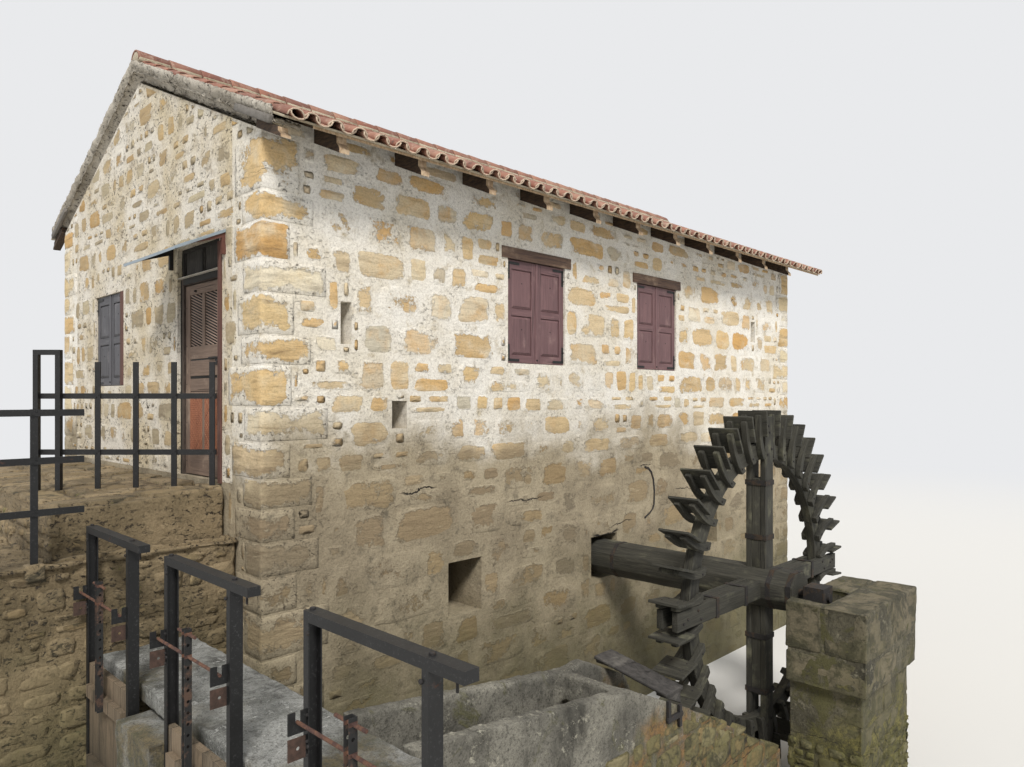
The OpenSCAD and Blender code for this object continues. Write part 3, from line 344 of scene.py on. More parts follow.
def concrete_paint(name, light, dark, stain, lichen, moss, growth, foot):
    """Old weathered concrete: speckled, stained in runs, with ragged lichen, moss, and a mossy foot that is
    given by the height of its upper edge and two colours."""
    p = Paint(name, 0.93, own=False)
    body = p.veil(dark, light, p.noise(1.7, 6, 0.65), 0.35, 0.65)
    body = p.stain(body, stain, p.span(p.noise(30, 6, 0.85), 0.5, 0.6), 0.65)
    body = p.veil(body, stain, p.noise(3.6, 7, 0.7, by=(1, 1, 0.3)), 0.5, 0.7, 0.85)
    crust = p.both((p.noise(13, 9, 0.82), 0.53, 0.57), (p.noise(1.9, 4), 0.42, 0.6))
    body = p.stain(body, lichen, crust, 0.75)
    green = p.span(p.noise(2.2, 7, 0.72, 0.8), 0.74 - 0.3 * growth, 0.84 - 0.3 * growth)
    body = p.stain(body, moss, green, 0.8)
    line, near, far = foot
    ochre = p.veil(near, far, p.noise(4.4, 6, 0.7), 0.4, 0.62)
    ochre = p.veil(ochre, stain, p.noise(24, 5, 0.8), 0.45, 0.6, 0.6)
    patch = p.span(p.noise(2.0, 7, 0.7), 0.38, 0.54, 0.35, 0.95)
    body = p.stain(body, ochre, p.minus(1.0, above(p, line, 0.35)), patch)
    joint = p.seams(1.5, (1, 1, 1.4), p.world, 0.16, 2.6, 5.0)
    crack = p.both((joint, 0.009, 0.0), (p.noise(1.1), 0.48, 0.55))
    body = p.stain(body, "#221e18", crack, 0.85)
    body = p.veil(body, "#5f5a4e", p.noise(85, 4, 0.85), 0.4, 0.68, 0.5, "MULTIPLY")
    pore = p.both((p.noise(48, 3, 0.7, 0.4), 0.62, 0.67), (p.noise(3), 0.42, 0.6))
    body = p.stain(body, "#2b2821", pore, 0.75)
    relief = p.plus(p.noise(15, 8, 0.76), p.times(crust, 0.3))
    relief = p.minus(p.plus(relief, p.times(green, 0.35)), p.times(crack, 0.8))
    return p.finish(body, relief, 0.016, 0.85)


def timber_paint(name):
    """Dark roof timber with bare pale wood at the sawn tail ends under the eave, made paler still on the
    faces that look out from the waterside as painted light of the sun.
    """
    p = Paint(name, 0.85, own=False)
    fibre = p.noise(9, 5, 0.7, 0.3, (6, 1, 6))
    body = p.veil("#241b16", "#53402f", fibre, 0.3, 0.7)
    pale = p.veil("#ad9070", "#dac1a0", p.noise(20, 4, by=(2, 1, 1)), 0.35, 0.7)
    normal = p.node("NewGeometry").outputs["Normal"]
    facing = p.node("SeparateXYZ", {0: normal}).outputs[1]
    # Partly painted light: the pale end wood on the faces that look out from the waterside is lighter than
    # bare wood, as if the sun fell on them.
    body = p.stain(body, pale, p.times(p.less(1, -0.33), p.span(facing, -0.55, -0.75)), 0.85)
    return p.finish(body, fibre, 0.004)


def canopy_paint(name):
    """A thin grey sheet on two brackets: the near one is painted red-brown and the far one black."""
    p = Paint(name, 0.5, own=False)
    sheet = p.veil("#8d959b", "#6b6a66", p.noise(7, 6, 0.7), 0.42, 0.68)
    line = p.plus(p.times(p.minus(p.place(0), float(ORIGIN[0])), 0.48), float(ORIGIN[2]) + 2.507)
    bracket = p.calc("LESS_THAN", p.place(2), line)
    iron = p.mix(p.less(1, 1.42), "#1d1c1b", "#5f3a30")
    iron = p.veil(iron, "#4b2f22", p.noise(16, 5), 0.5, 0.7, 0.5)
    return p.finish(p.mix(bracket, sheet, iron), p.noise(30, 4), 0.001, 0.5, p.span(bracket, 0, 1, 0.42, 0.7))


ROD_HEIGHTS = (2.93, 3.07)


def gate_paint(name):
    """A gate: upright weathered boards, dark lifting iron upstream of them and rusty rods."""
    p = Paint(name, 0.85, own=False)
    turn = p.calc("DIVIDE", p.place(1), 0.165)
    board_number = {"W": p.calc("FLOOR", turn)}
    tone = p.node("TexWhiteNoise", board_number, noise_dimensions="1D").outputs["Value"]
    seam = p.calc("LESS_THAN", p.calc("FRACT", turn), 0.04)
    fibre = p.noise(11, 5, 0.7, 0.3, (9, 9, 0.5))
    wood = p.veil("#3d352a", "#7d6f5b", fibre, 0.32, 0.66)
    wood = p.stain(wood, "#8f7b63", tone, 0.5)
    wood = p.veil(wood, "#2f2b1f", p.place(2), 2.35, 1.1)
    wood = p.veil(wood, "#3b3427", p.noise(2.3, 6, 0.7, by=(1, 1, 0.5)), 0.5, 0.68, 0.8)
    wood = p.mix(seam, wood, "#14110c")
    iron = p.veil("#1f1f1e", "#523e32", p.noise(7, 6, 0.75), 0.52, 0.62)
    near = [p.calc("LESS_THAN", p.calc("ABSOLUTE", p.minus(p.place(2), z)), 0.0105) for z in ROD_HEIGHTS]
    rust = p.veil("#46302a", "#6a4a38", p.noise(21, 5, 0.7), 0.4, 0.62)
    body = p.mix(p.less(0, -1.3655), wood, p.mix(p.calc("MAXIMUM", *near), iron, rust))
    return p.finish(body, fibre, 0.004, 0.7)


def tile_paint(name):
    """Clay barrel tiles: orange to pink to brown, sooty crowns, pale lichen and lime runs."""
    p = Paint(name, 0.85)
    body = p.steps(p.tone, ["#80574a", "#a1735f", "#925f4d", "#ae8570", "#85584a", "#a67863"])
    body = p.veil(body, "#6e4b3f", p.noise(6, 5, 0.65), 0.4, 0.8, 0.7)
    body = p.veil(body, "#cdb9a4", p.noise(9, 7, 0.75, 0.5), 0.5, 0.72, 0.6)
    body = p.veil(body, "#dccbb2", p.edge, 0.5, 0.85, 0.7)
    body = p.veil(body, "#4a4238", p.cloud(8.3, 4, 0.6), 0.6, 0.72, 0.7)
    return p.finish(body, p.plus(p.noise(40, 4, 0.7), p.noise(9, by=(0.3, 2, 1))), 0.004)


def rusty_foot(p):
    """The upstream side of the gate frames, low down."""
    return p.times(p.less(0, -1.347), p.less(2, -0.843))


CREAM = ("#f8f3e8", "#ebe2cf", "#c2b395")
SOILED = ("#b5a78c", "#958870", "#6b6352")
GREY_LIME = ("#ede6d8", "#d6c7a8", "#a1917a")
EARTH = ("#9c8a6b", "#73654b", "#453d2c")
SOILED_STONES = ["#a3906f", "#918066", "#a8936f", "#8b7f69", "#9f8862", "#ae9c7d"]
FAR_STONES = ["#cfc2a6", "#bba886", "#c09a60", "#cabd9e", "#a99a7e"]
ALONG_X, ALONG_Y, ALONG_Z = (1, 9, 9), (9, 1, 9), (9, 9, 1)
# Each paint function with its materials, whose values are its arguments in their order
finishes = (
    (mortar_paint, {
        "wall_mortar": (CREAM, SOILED, 0.35, 0.8),
        "gable_mortar": (GREY_LIME, None, 0.8),
        "far_mortar": (GREY_LIME, SOILED, 0.8, 0.8),
        "verge": (("#d6cebf", "#b5ac9c", "#6b6357"), None, 1.0, 0.0, 0.04),
        "bank_earth": (EARTH, None, 1.0, 0.95, 0.04),
        "upper_mortar_own": (("#c8bda6", "#a89b82", "#7d705a"),),
        "kneeler": (("#86817a", "#726d66", "#56514a"), None, 0.2),
    }),
    (stone_paint, {
        "wall_stone": (["#ecdcba", "#dcc49b", "#e5c792", "#cfc6b0", "#daac69", "#f0e5cc", "#cdb48a",
                        "#dcb67c", "#e2d3b2"], CREAM, SOILED, SOILED_STONES, 0.50, 0.4, 0.8),
        "gable_stone": (FAR_STONES + ["#cfae78", "#c1b396", "#9f9178"], GREY_LIME, None, None, 0.50, 0.85),
        "far_stone": (FAR_STONES, GREY_LIME, SOILED, SOILED_STONES, 0.50, 0.8, 0.8),
        "quoin_stone": (["#e9dab6", "#dab67c", "#eee3c9", "#dfc696", "#cfa161", "#e4d0a5"],
                        CREAM, SOILED, SOILED_STONES, 0.50, 0.7, 0.8, 0.75),
        "pier_stone": (["#716853", "#7b715c", "#5d5646", "#867b66", "#665e4c"],
                       ("#7b7360", "#5d5644", "#353123"), None, None, 0.40, 0.7, 0.75, 0.8, "#26241a", 0.8),
        "rubble": (["#857a4c", "#928452", "#6a6540", "#a39a76", "#76703f"],
                   ("#7f7a42", "#5f5c35", "#34331c"), None, None, 0.42, 0.7, 0.6, 0.8, "#26241a", 0.7),
        "bank_stone": (["#8f7c5b", "#7a694b", "#a08e6a", "#6f624a"], EARTH, None, None, 0.74, 1.0, 0.95, 0.8,
                       "#5d4a34", 0.45),
        "foot_stone": (["#a58a5c", "#8a7650", "#918655", "#a3977a", "#77713f"],
                       ("#8b8058", "#6a6240", "#423e25"), None, None, 0.5, 0.7, 0.5, 0.8, "#3a3018", 0.6),
    }),
    (wood_paint, {
        "lintel_wood": ("#7a604c", "#40302a", "#9a836c", 0.5, 0.8, ALONG_X),
        "floor_wood": ("#9b7c56", "#6b5138", "#b09a78", 0.2, 0.8, ALONG_X),
        "cover_wood": ("#4c4845", "#272522", "#6c6861", 0.5, 0.8, ALONG_Y),
        "frame_wood": ("#5c4238", "#35251f", "#7d6558", 0.3, 0.8, ALONG_Z),
        "leaf_wood": ("#5d5148", "#3a3029", "#77695d", 0.3, 0.8, ALONG_Z),
        "dark_wood": ("#4a4640", "#2b2824", "#615b52", 0.3, 0.8, ALONG_Z),
        "shutter_wood": ("#806060", "#573f41", "#9b7f7a", 0.4, 0.65),
        "grey_shutter_wood": ("#5f5e62", "#3e3d3f", "#7d7a7b", 0.3, 0.6),
        "door_wood": ("#8b7666", "#5f4e43", "#a6927f", 0.4),
        # Dark weathered wheel wood, made darker still as painted shade for the shade the wheel stands in.
        "wheel_wood": ("#46443a", "#191813", "#6e6c58", 0.45),
        # Pale lattice strips. Their colour is partly painted light: lighter than their wood, as if lit by the
        # sun.
        "lattice_wood": ("#a99485", "#7d695c", "#c2b0a2", 0.3),
        "warm_wood": ("#b57a5a", "#8a5540", "#cf9c7c", 0.4),
        "jamb_wood": ("#704a3e", "#46302a", "#866658", 0.3),
        # Near-black wood that is painted shade: the door's panes and gaps, and the frame boards on the shaded
        # left jamb and transom.
        "night_wood": ("#2c2924", "#171512", "#45413a", 0.3),
        "pale_strip": ("#d9d5ca", "#b0aa9c", "#efece4", 0.4),
    }),
    (metal_paint, {
        "black_steel": ("#121212", "#5f4334", "#33251d", 0.3),
        "black_steel_own": ("#161616", "#5a4032", "#30241c", 0.3, 0.55, True),
        "gate_steel": ("#121212", "#503c32", "#33261f", 0.3, 0.55, False, 0.9, rusty_foot),
        "rust_iron": ("#262321", "#453628", "#2b2319", 0.7, 0.85),
        "rust_iron_own": ("#242120", "#433527", "#29221a", 0.55, 0.8, True),
        "lip_metal": ("#8d9aa3", "#6f6a62", "#54504a", 0.2, 0.4, True, 0.7),
    }),
    (concrete_paint, {
        "deck_concrete": ("#a6a6a1", "#777872", "#403f3b", "#cfcfc9", "#66664a", 0.3,
                          (2.2, "#75694c", "#57533a")),
        "flume_concrete": ("#949083", "#66635a", "#33312a", "#c2bdaa", "#62603a", 0.5,
                           (1.6, "#8c6a3c", "#5f5a32")),
        "pier_ground": ("#6f6955", "#4b4738", "#24231a", "#8d8771", "#55522d", 0.8,
                        (1.1, "#7f7842", "#4f4c2a")),
    }),
    (tile_paint, {"clay": ()}),
    (timber_paint, {"roof_wood": ()}),
    (canopy_paint, {"sheet": ()}),
    (gate_paint, {"gate": ()}),
)
paints = {name: make(name, *values) for make, rows in finishes for name, values in rows.items()}

# Which CAD nodes have which material
painted = {
    "wall_mortar": "waterside_wall_lower waterside_wall_upper back_wall door_gable_lower",
    "gable_mortar": "door_gable_left door_gable_right door_gable_over",
    "far_mortar": "far_gable_wall", "verge": "verge_stones", "bank_earth": "terrace bank_wall",
    "roof_wood": "ridge_beam rafters roof_boards", "clay": "waterside_tiles back_tiles ridge_tiles",
    "floor_wood": "mill_floor", "lintel_wood": "window_lintels", "dark_wood": "door_transom",
    "frame_wood": "window_frames waterside_shutters back_shutters gable_shutters",
    "leaf_wood": "door_frame door_leaf", "sheet": "door_canopy", "gate": "bank_gate middle_gate outer_gate",
    "black_steel": "terrace_railing bank_railing", "gate_steel": "gate_frames",
    "deck_concrete": "sluice_sill sluice_piers sluice_deck", "flume_concrete": "flume_bed flume_walls",
    "pier_ground": "wheel_pier", "rust_iron": "shaft_bearings wheel_irons",
    "cover_wood": "flume_cover wheel_shaft wheel_arms wheel_rim wheel_starts wheel_floats",
}
for paint, names in painted.items():
    for name in names.split():
        for place in nodes[name].material_slots:
            place.material = paints[paint]


def weather(name, voxel, depth, scale):
    """Rounds a CAD node's edges and wears its faces inward at two scales, by modifiers alone."""
    piece = nodes[name]
    rounding = piece.modifiers.new("round", "REMESH")
    rounding.mode = "VOXEL"
    rounding.voxel_size = voxel
    rounding.use_smooth_shade = True
    for part, share in ((1.0, 0.7), (0.36, 0.5)):
        cloud = bpy.data.textures.new(name + "_wear", "CLOUDS")
        cloud.noise_scale = scale * part
        cloud.noise_depth = 2
        wear = piece.modifiers.new("wear", "DISPLACE")
        wear.texture = cloud
        wear.texture_coords = "LOCAL"
        wear.mid_level = 1.14
        wear.strength = depth * share


# Each node with its voxel size, how deep it is worn and the size of the hollows
for weathered in (("terrace", 0.05, 0.05, 0.4), ("bank_wall", 0.04, 0.07, 0.34),
                  ("wheel_pier", 0.035, 0.034, 0.34), ("flume_walls", 0.034, 0.022, 0.2),
                  ("sluice_piers", 0.035, 0.035, 0.25), ("sluice_deck", 0.028, 0.03, 0.24),
                  ("sluice_sill", 0.06, 0.03, 0.3), ("verge_stones", 0.020, 0.05, 0.14),
                  ("flume_cover", 0.012, 0.010, 0.12)):
    weather(*weathered)


# Piles of small solids

class Pile:
    """Many small solids in one piece. Each point carries grain coordinates, a tone and an edge value."""

    def __init__(self):
        self.points, self.faces, self.grain, self.tone, self.edge = [], [], [], [], []
        self.count = 0

    def add(self, points, faces, grain, tone, edge=0.0):
        self.points.append(np.asarray(points, float))
        self.faces.extend(tuple(i + self.count for i in face) for face in faces)
        self.grain.append(np.asarray(grain, float))
        self.tone.append(np.broadcast_to(np.asarray(tone, float), len(points)))
        self.edge.append(np.broadcast_to(np.asarray(edge, float), len(points)))
        self.count += len(points)

    def build(self, name, slot, paint, hides=(), sharp=None, body="mill"):
        mesh = bpy.data.meshes.new(name)
        mesh.from_pydata((np.vstack(self.points) + ORIGIN).tolist(), [], self.faces)
        for key, kind, field, data in (("grain", "FLOAT_VECTOR", "vector", np.vstack(self.grain)),
                                       ("tone", "FLOAT", "value", np.concatenate(self.tone)),
                                       ("edge", "FLOAT", "value", np.concatenate(self.edge))):
            mesh.attributes.new(key, kind, "POINT").data.foreach_set(field, data.astype(np.float32).ravel())
        mesh.polygons.foreach_set("use_smooth", [True] * len(mesh.polygons))
        if sharp:
            mesh.set_sharp_from_angle(angle=math.radians(sharp))
        mesh.materials.append(paints[paint])
        piece = bpy.data.objects.new(name, mesh)
        bpy.context.collection.objects.link(piece)
        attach(piece, body)
        if hides:
            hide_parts(*hides)


def random_place():
    """Where a solid's grain coordinates start, so that no two look the same."""
    return np.array([rng.uniform(-50, 50) for _ in range(3)])


def rings_to_faces(rings, size, close_low=False, close_high=False):
    """Quads between rings of equal size, numbered one after the other, with optional end faces."""
    faces = []
    for r in range(rings - 1):
        for i in range(size):
            j = (i + 1) % size
            faces.append((r * size + i, r * size + j, (r + 1) * size + j, (r + 1) * size + i))
    if close_low:
        faces.append(tuple(range(size - 1, -1, -1)))
    if close_high:
        faces.append(tuple((rings - 1) * size + i for i in range(size)))
    return faces


def crown(size):
    """The faces of a dome: three rings and a point on top of them."""
    last = 2 * size
    return rings_to_faces(3, size) + [(last + i, last + (i + 1) % size, last + size) for i in range(size)]


def faced(faces, a, b, out):
    """The faces, turned over where rings that run from a to b would look away from out."""
    return [face[::-1] for face in faces] if float(np.cross(a, b) @ out) < 0 else faces


# Stonework

def cut_out(rect, hole):
    """What is left of a stone's rectangle beside one hole, as smaller rectangles."""
    u0, v0, u1, v1 = rect
    a0, b0, a1, b1 = hole
    if u1 <= a0 or u0 >= a1 or v1 <= b0 or v0 >= b1:
        return [rect]
    left = [(u0, v0, a0, v1)] if a0 > u0 else []
    if a1 < u1:
        left.append((a1, v0, u1, v1))
    u0, u1 = max(u0, a0), min(u1, a1)
    if b0 > v0:
        left.append((u0, v0, u1, b0))
    if b1 < v1:
        left.append((u0, b1, u1, v1))
    return left


def clip(outline, line):
    """The part of an outline below a line a*u + b*v <= c."""
    a, b, c = line
    kept = []
    for p, q in zip(outline, outline[1:] + outline[:1]):
        dp, dq = c - a * p[0] - b * p[1], c - a * q[0] - b * q[1]
        if dp >= 0:
            kept.append(p)
        if dp * dq < 0:
            t = dp / (dp - dq)
            kept.append((p[0] + t * (q[0] - p[0]), p[1] + t * (q[1] - p[1])))
    return kept


STONE_POINTS = 16


def lay_stone(pile, face, rect, rise, lines, sink):
    """One stone with a rough, slightly domed face, on the plane (start, along, up, out)."""
    start, along, up, out = face
    u0, v0, u1, v1 = rect
    w, h = u1 - u0, v1 - v0
    power = rng.uniform(2.7, 6.5)
    skew = rng.uniform(-0.08, 0.08)
    outline = []
    for k in range(STONE_POINTS):
        t = 2 * math.pi * (k + 0.5) / STONE_POINTS
        cu, su = math.cos(t), math.sin(t)
        x = math.copysign(abs(cu) ** (2 / power), cu) * rng.uniform(0.9, 1.0)
        y = math.copysign(abs(su) ** (2 / power), su) * rng.uniform(0.88, 1.0)
        outline.append(((u0 + u1) / 2 + (x + skew * y) * w / 2, (v0 + v1) / 2 + y * h / 2))
    for line in lines:
        outline = clip(outline, line)
        if len(outline) < 4:
            return
    flat = np.array(outline)
    if min(np.ptp(flat, axis=0)) < 0.05:
        return
    centre = flat.mean(axis=0)
    reach = np.linalg.norm(flat - centre, axis=1, keepdims=True)
    rim = 0.014 if sink > 0.02 else 0.03
    inner = centre + (flat - centre) * np.clip(1 - rim / np.maximum(reach, 0.05), 0.45, 1)
    middle = centre + (flat - centre) * 0.68
    level = rng.uniform(0.75, 1.15) * rise * min(1.0, 0.25 + 3.0 * min(w, h))
    tilt = np.array([rng.uniform(-0.02, 0.02), rng.uniform(-0.03, 0.03)])
    shift = random_place()
    points, grain, edges = [], [], []
    for row, high, edge in ((flat, -sink, 1.0), (inner, 0.55 * level, 0.84), (middle, level, 0.45),
                            (centre[None, :], level * 1.1, 0.0)):
        for p in row:
            bump = high + (0 if high < 0 else float((p - centre) @ tilt) + rng.uniform(-0.25, 0.25) * rise)
            bump = max(bump, -sink)
            points.append(start + along * p[0] + up * p[1] + out * bump)
            grain.append(shift + np.array([p[0], p[1], bump]))
            edges.append(edge)
    pile.add(points, faced(crown(len(flat)), along, up, out), grain, rng.random(), edges)


def lay_wall(pile, face, area, rows, widths, gap, rise, holes, lines, split, sink=0.004):
    """Courses of stones over an area (u0, v0, u1, v1), with holes left out and lines as upper limits."""
    u0, v0, u1, v1 = area
    least = 0.07
    v = v0
    while v < v1 - 0.04:
        high = rng.uniform(*rows)
        top = v + high if v + high < v1 - rows[0] * 0.6 else v1
        u = u0 - rng.uniform(0, widths[0])
        while u < u1:
            wide = rng.uniform(*widths)
            wave = 0.03 * noise.noise((u * 0.8, v * 2.0, rise * 100))
            pieces = [(u, v + wave, u + wide, top + wave)]
            if rng.random() < split and wide > widths[0] * 1.2:
                at = v + wave + (top - v) * rng.uniform(0.4, 0.6)
                pieces = [(u, v + wave, u + wide, at), (u, at, u + wide * 0.5, top + wave),
                          (u + wide * 0.5, at, u + wide, top + wave)]
            pieces = [(max(a, u0), max(b, v0), min(c, u1), min(d, v1)) for a, b, c, d in pieces]
            for hole in holes:
                pieces = [part for piece in pieces for part in cut_out(piece, hole)]
            for a, b, c, d in pieces:
                if c - a > least and d - b > least * 0.8:
                    space = gap * rng.uniform(0.5, 1.3) / 2
                    lay_stone(pile, face, (a + space, b + space, c - space, d - space), rise, lines, sink)
            u += wide
        v = top


def lay_quoin(pile, corner, along, across, low, high, reach_a, reach_b):
    """One corner stone that shows on both faces. It reaches along both walls from the corner."""
    out = 0.009
    spots = [0.0, 0.03, 0.12, 0.4, 0.7, 0.92, 1.0]
    ring = [(reach_a + 0.01, 0.08)]
    ring += [(reach_a * s, -out) for s in spots[::-1][:-2]]
    ring += [(0.002, -out), (-out, 0.002)]
    ring += [(-out, reach_b * s) for s in spots[2:]]
    ring += [(0.08, reach_b + 0.01), (reach_a * 0.6, reach_b * 0.6)]
    levels = [(low, 0.012, 1.0), (low + 0.012, 0.004, 0.8), (low + 0.07, 0, 0.3), ((low + high) / 2, 0, 0),
              (high - 0.07, 0, 0.3), (high - 0.012, 0.004, 0.8), (high, 0.012, 1.0)]
    shift = random_place()
    points, grain, edges = [], [], []
    for z, pull, rim in levels:
        for a, b in ring:
            a2, b2 = a, b
            if a < 0.001 or b < 0.001:
                a2 = a + (pull if a < 0.001 else 0) + rng.uniform(-0.004, 0.002)
                b2 = b + (pull if b < 0.001 else 0) + rng.uniform(-0.004, 0.002)
            far_a = 1 - (reach_a - a) / 0.1 if b < 0.001 else 0
            far_b = 1 - (reach_b - b) / 0.1 if a < 0.001 else 0
            points.append(corner + along * a2 + across * b2 + Z * z)
            grain.append(shift + np.array([a - b, z, 0]))
            edges.append(max(rim, min(max(far_a, far_b, 0), 1)))
    faces = faced(rings_to_faces(len(levels), len(ring), True, True), along, across, -Z)
    pile.add(points, faces, grain, rng.random(), edges)


def corner_stack(pile, corner, along, across, long_side):
    """Alternating corner stones up one corner, and the room they take as holes of both walls."""
    z, turn, high = BASE, 0, EAVE - 0.02
    holes_a, holes_b = [], []
    while z < high - 0.05:
        top = min(z + rng.uniform(0.27, 0.42), high)
        if high - top < 0.12:
            top = high
        a, b = rng.uniform(0.5, 0.85) * long_side, rng.uniform(0.28, 0.4)
        if turn % 2:
            a, b = b, a * 0.85
        lay_quoin(pile, corner, along, across, z + 0.008, top - 0.008, a, b)
        holes_a.append((-1, z, a + 0.01, top))
        holes_b.append((-1, z, b + 0.01, top))
        z, turn = top, turn + 1
    return holes_a, holes_b


def from_far_end(holes, size):
    """Holes that are counted from a wall's far end, as holes of the whole wall."""
    return [(size - c, b, size + 1, d) for a, b, c, d in holes]


def around(x, z, w, h):
    """A hole's rectangle about its centre."""
    return (x - w / 2, z - h / 2, x + w / 2, z + h / 2)


def walls():
    """The corner stones and the stones of all four walls, with the windows, hatches and slots left free."""
    windows = [(x, WINDOW_SILL, x + WINDOW_WIDTH, WINDOW_HEAD) for x in WINDOW_LEFTS]
    window_holes = [(a - 0.01, b - 0.03, c + 0.01, d) for a, b, c, d in windows]
    window_holes += [(a - 0.12, d, c + 0.12, d + 0.15) for a, b, c, d in windows]
    # Slots, hatches and the shaft hole, and at the gable the door, the window, the terrace and the bank wall
    water_holes = window_holes + [around(*hole) for hole in (
        (0.91, 1.6, 0.13, 0.43), (1.58, 0.66, 0.2, 0.3), (9.73, 2.07, 0.17, 0.38), (2.53, -1.365, 0.52, 0.63),
        (8.22, -1.39, 0.35, 0.52), (5.19, -1.41, 0.6, 0.6))]
    gable_holes = [(0.81, -0.05, 1.96, 2.5), (3.66, 0.98, 4.77, 2.36), (0.7, BASE, 7, -0.06),
                   (0.42, BASE, 0.72, -0.5)]
    slopes = ((-SLOPE, 1.0, EAVE - 0.02), (SLOPE, 1.0, EAVE + WIDTH * SLOPE - 0.02))
    wall_top = EAVE + 0.13
    waterside = (np.zeros(3), X, Z, -Y)
    back = (Y * WIDTH, X, Z, Y)
    door_side = (np.zeros(3), Y, Z, -X)
    far_side = (X * LENGTH, Y, Z, X)

    quoins = Pile()
    near_front = corner_stack(quoins, np.zeros(3), X, Y, 1.0)
    far_front = corner_stack(quoins, X * LENGTH, -X, Y, 0.8)
    near_back = corner_stack(quoins, Y * WIDTH, X, -Y, 0.8)
    far_back = corner_stack(quoins, X * LENGTH + Y * WIDTH, -X, -Y, 0.8)
    quoins.build("corner_stones", "rubble_stone", "quoin_stone")
    water_holes += near_front[0] + from_far_end(far_front[0], LENGTH)
    gable_holes += near_front[1] + from_far_end(near_back[1], WIDTH)
    back_holes = window_holes + near_back[0] + from_far_end(far_back[0], LENGTH)
    far_holes = far_front[1] + from_far_end(far_back[1], WIDTH)

    for name, slot, paint, jobs in (
        ("waterside_stones", "rubble_stone", "wall_stone",
         [(waterside, (0, 0.05, LENGTH, wall_top), (0.22, 0.42), (0.26, 0.85), 0.04, 0.006,
           water_holes, ())]),
        ("back_stones", "rubble_stone", "wall_stone",
         [(back, (0, BASE, LENGTH, wall_top), (0.26, 0.44), (0.34, 0.85), 0.045, 0.007, back_holes, ())]),
        ("lower_stones", "weathered_stone", "wall_stone",
         [(waterside, (0, BASE, LENGTH, 0.05), (0.32, 0.5), (0.45, 1.05), 0.03, 0.004, water_holes, ()),
          (door_side, (0, BASE, 0.7, 0), (0.26, 0.4), (0.3, 0.7), 0.03, 0.011, gable_holes, ())]),
        ("gable_stones", "gable_stone", "gable_stone",
         [(door_side, (0, 0, WIDTH, 5.0), (0.17, 0.36), (0.2, 0.62), 0.05, 0.006, gable_holes, slopes)]),
        ("far_gable_stones", "rubble_stone", "far_stone",
         [(far_side, (0, BASE, WIDTH, 5.0), (0.2, 0.36), (0.24, 0.65), 0.05, 0.007, far_holes, slopes)]),
    ):
        pile = Pile()
        for job in jobs:
            lay_wall(pile, *job, split=0.3)
        pile.build(name, slot, paint)


walls()


# Boards and irons

def bevelled(half, low, high, bevel):
    """The eight corners of a board's section, which is 2 * half wide and reaches from low to high."""
    return ((bevel - half, low), (half - bevel, low), (half, low + bevel), (half, high - bevel),
            (half - bevel, high), (bevel - half, high), (-half, high - bevel), (-half, low + bevel))


def board(pile, middle, along, wide, size, tone=None, bevel=0.004, cuts=1, wobble=0.0, taper=1.0):
    """A sawn board with bevelled edges. Its grain runs along it, and wobble makes its faces uneven."""
    middle, along, wide = (np.asarray(v, float) for v in (middle, along, wide))
    third = np.cross(along, wide)
    half, w, t = (length / 2 for length in size)
    b = min(bevel, w * 0.5, t * 0.5)
    stops = [(-half + b + (2 * half - 2 * b) * k / cuts, 0) for k in range(cuts + 1)]
    shift = random_place()
    points, grain, edges = [], [], []
    for s, inset in [(-half, b)] + stops + [(half, b)]:
        small = 1 + (taper - 1) * (s + half) / (2 * half)
        for y, z in bevelled(w, -t, t, b):
            y = (y - math.copysign(inset, y)) * small + rng.uniform(-wobble, wobble)
            z = z - math.copysign(inset, z) + rng.uniform(-wobble, wobble) * 0.5
            points.append(middle + along * s + wide * y + third * z)
            grain.append(shift + np.array([s, y, z]))
            edges.append(1.0 if inset else 0.0)
    tone = rng.random() if tone is None else tone
    pile.add(points, rings_to_faces(cuts + 3, 8, True, True), grain, tone, edges)


ROUND_HEAD = ((1.0, 0.0), (0.92, 0.45), (0.6, 0.85), (0.0, 1.0))
FLAT_HEAD = ((1.0, 0.0), (1.0, 0.75), (0.8, 1.0), (0.0, 1.0))


def lump(pile, middle, out, radius, height, sides=8, head=ROUND_HEAD):
    """A bolt or rivet head that stands on a face."""
    middle, out = np.asarray(middle, float), np.asarray(out, float)
    side = np.cross(out, Z if abs(out[2]) < 0.9 else X)
    side = side / np.linalg.norm(side)
    other = np.cross(out, side)
    points, grain = [], []
    for r, h in head:
        for k in range(sides if r else 1):
            a = 2 * math.pi * k / sides
            p = side * (radius * r * math.cos(a)) + other * (radius * r * math.sin(a)) + out * (height * h)
            points.append(middle + p)
            grain.append(middle * 3 + p)
    pile.add(points, faced(crown(sides), side, other, out), grain, 0.5, 0.3)


def nut(pile, middle, out, radius, height):
    """A six-sided nut with a flat top."""
    lump(pile, middle, out, radius, height, 6, FLAT_HEAD)


def raised_panel(pile, middle, wide, out, w, h, tone):
    """An upright fielded panel: a sunk rim, a slope and a flat field, with grain along its height."""
    shift = random_place()
    points, grain = [], []
    for inset, level in ((0.0, -0.020), (0.006, -0.016), (0.030, -0.006), (0.034, -0.002)):
        a, b = w / 2 - inset, h / 2 - inset
        for x, y in ((-a, -b), (a, -b), (a, b), (-a, b)):
            points.append(middle + wide * x + Z * y + out * level)
            grain.append(shift + np.array([y, x, level]))
    pile.add(points, faced(rings_to_faces(4, 4, False, True), wide, Z, out), grain, tone, 0.2)


# Roof

EAVE_Y = -0.5541
ROOF_START, ROOF_LENGTH = -0.06, LENGTH + 0.41
TILE_COLUMNS, TILE_ROWS, TILE_LENGTH = 46, 11, 0.46
TILE_SKIN, TILE_NARROWING, TILE_TIP = 0.013, 0.16, 0.010
# The width of both kinds of tile, how high their edges lie, and their rise
PAN, COVER = (0.186, 0.004, 0.070), (0.180, 0.022, 0.078)


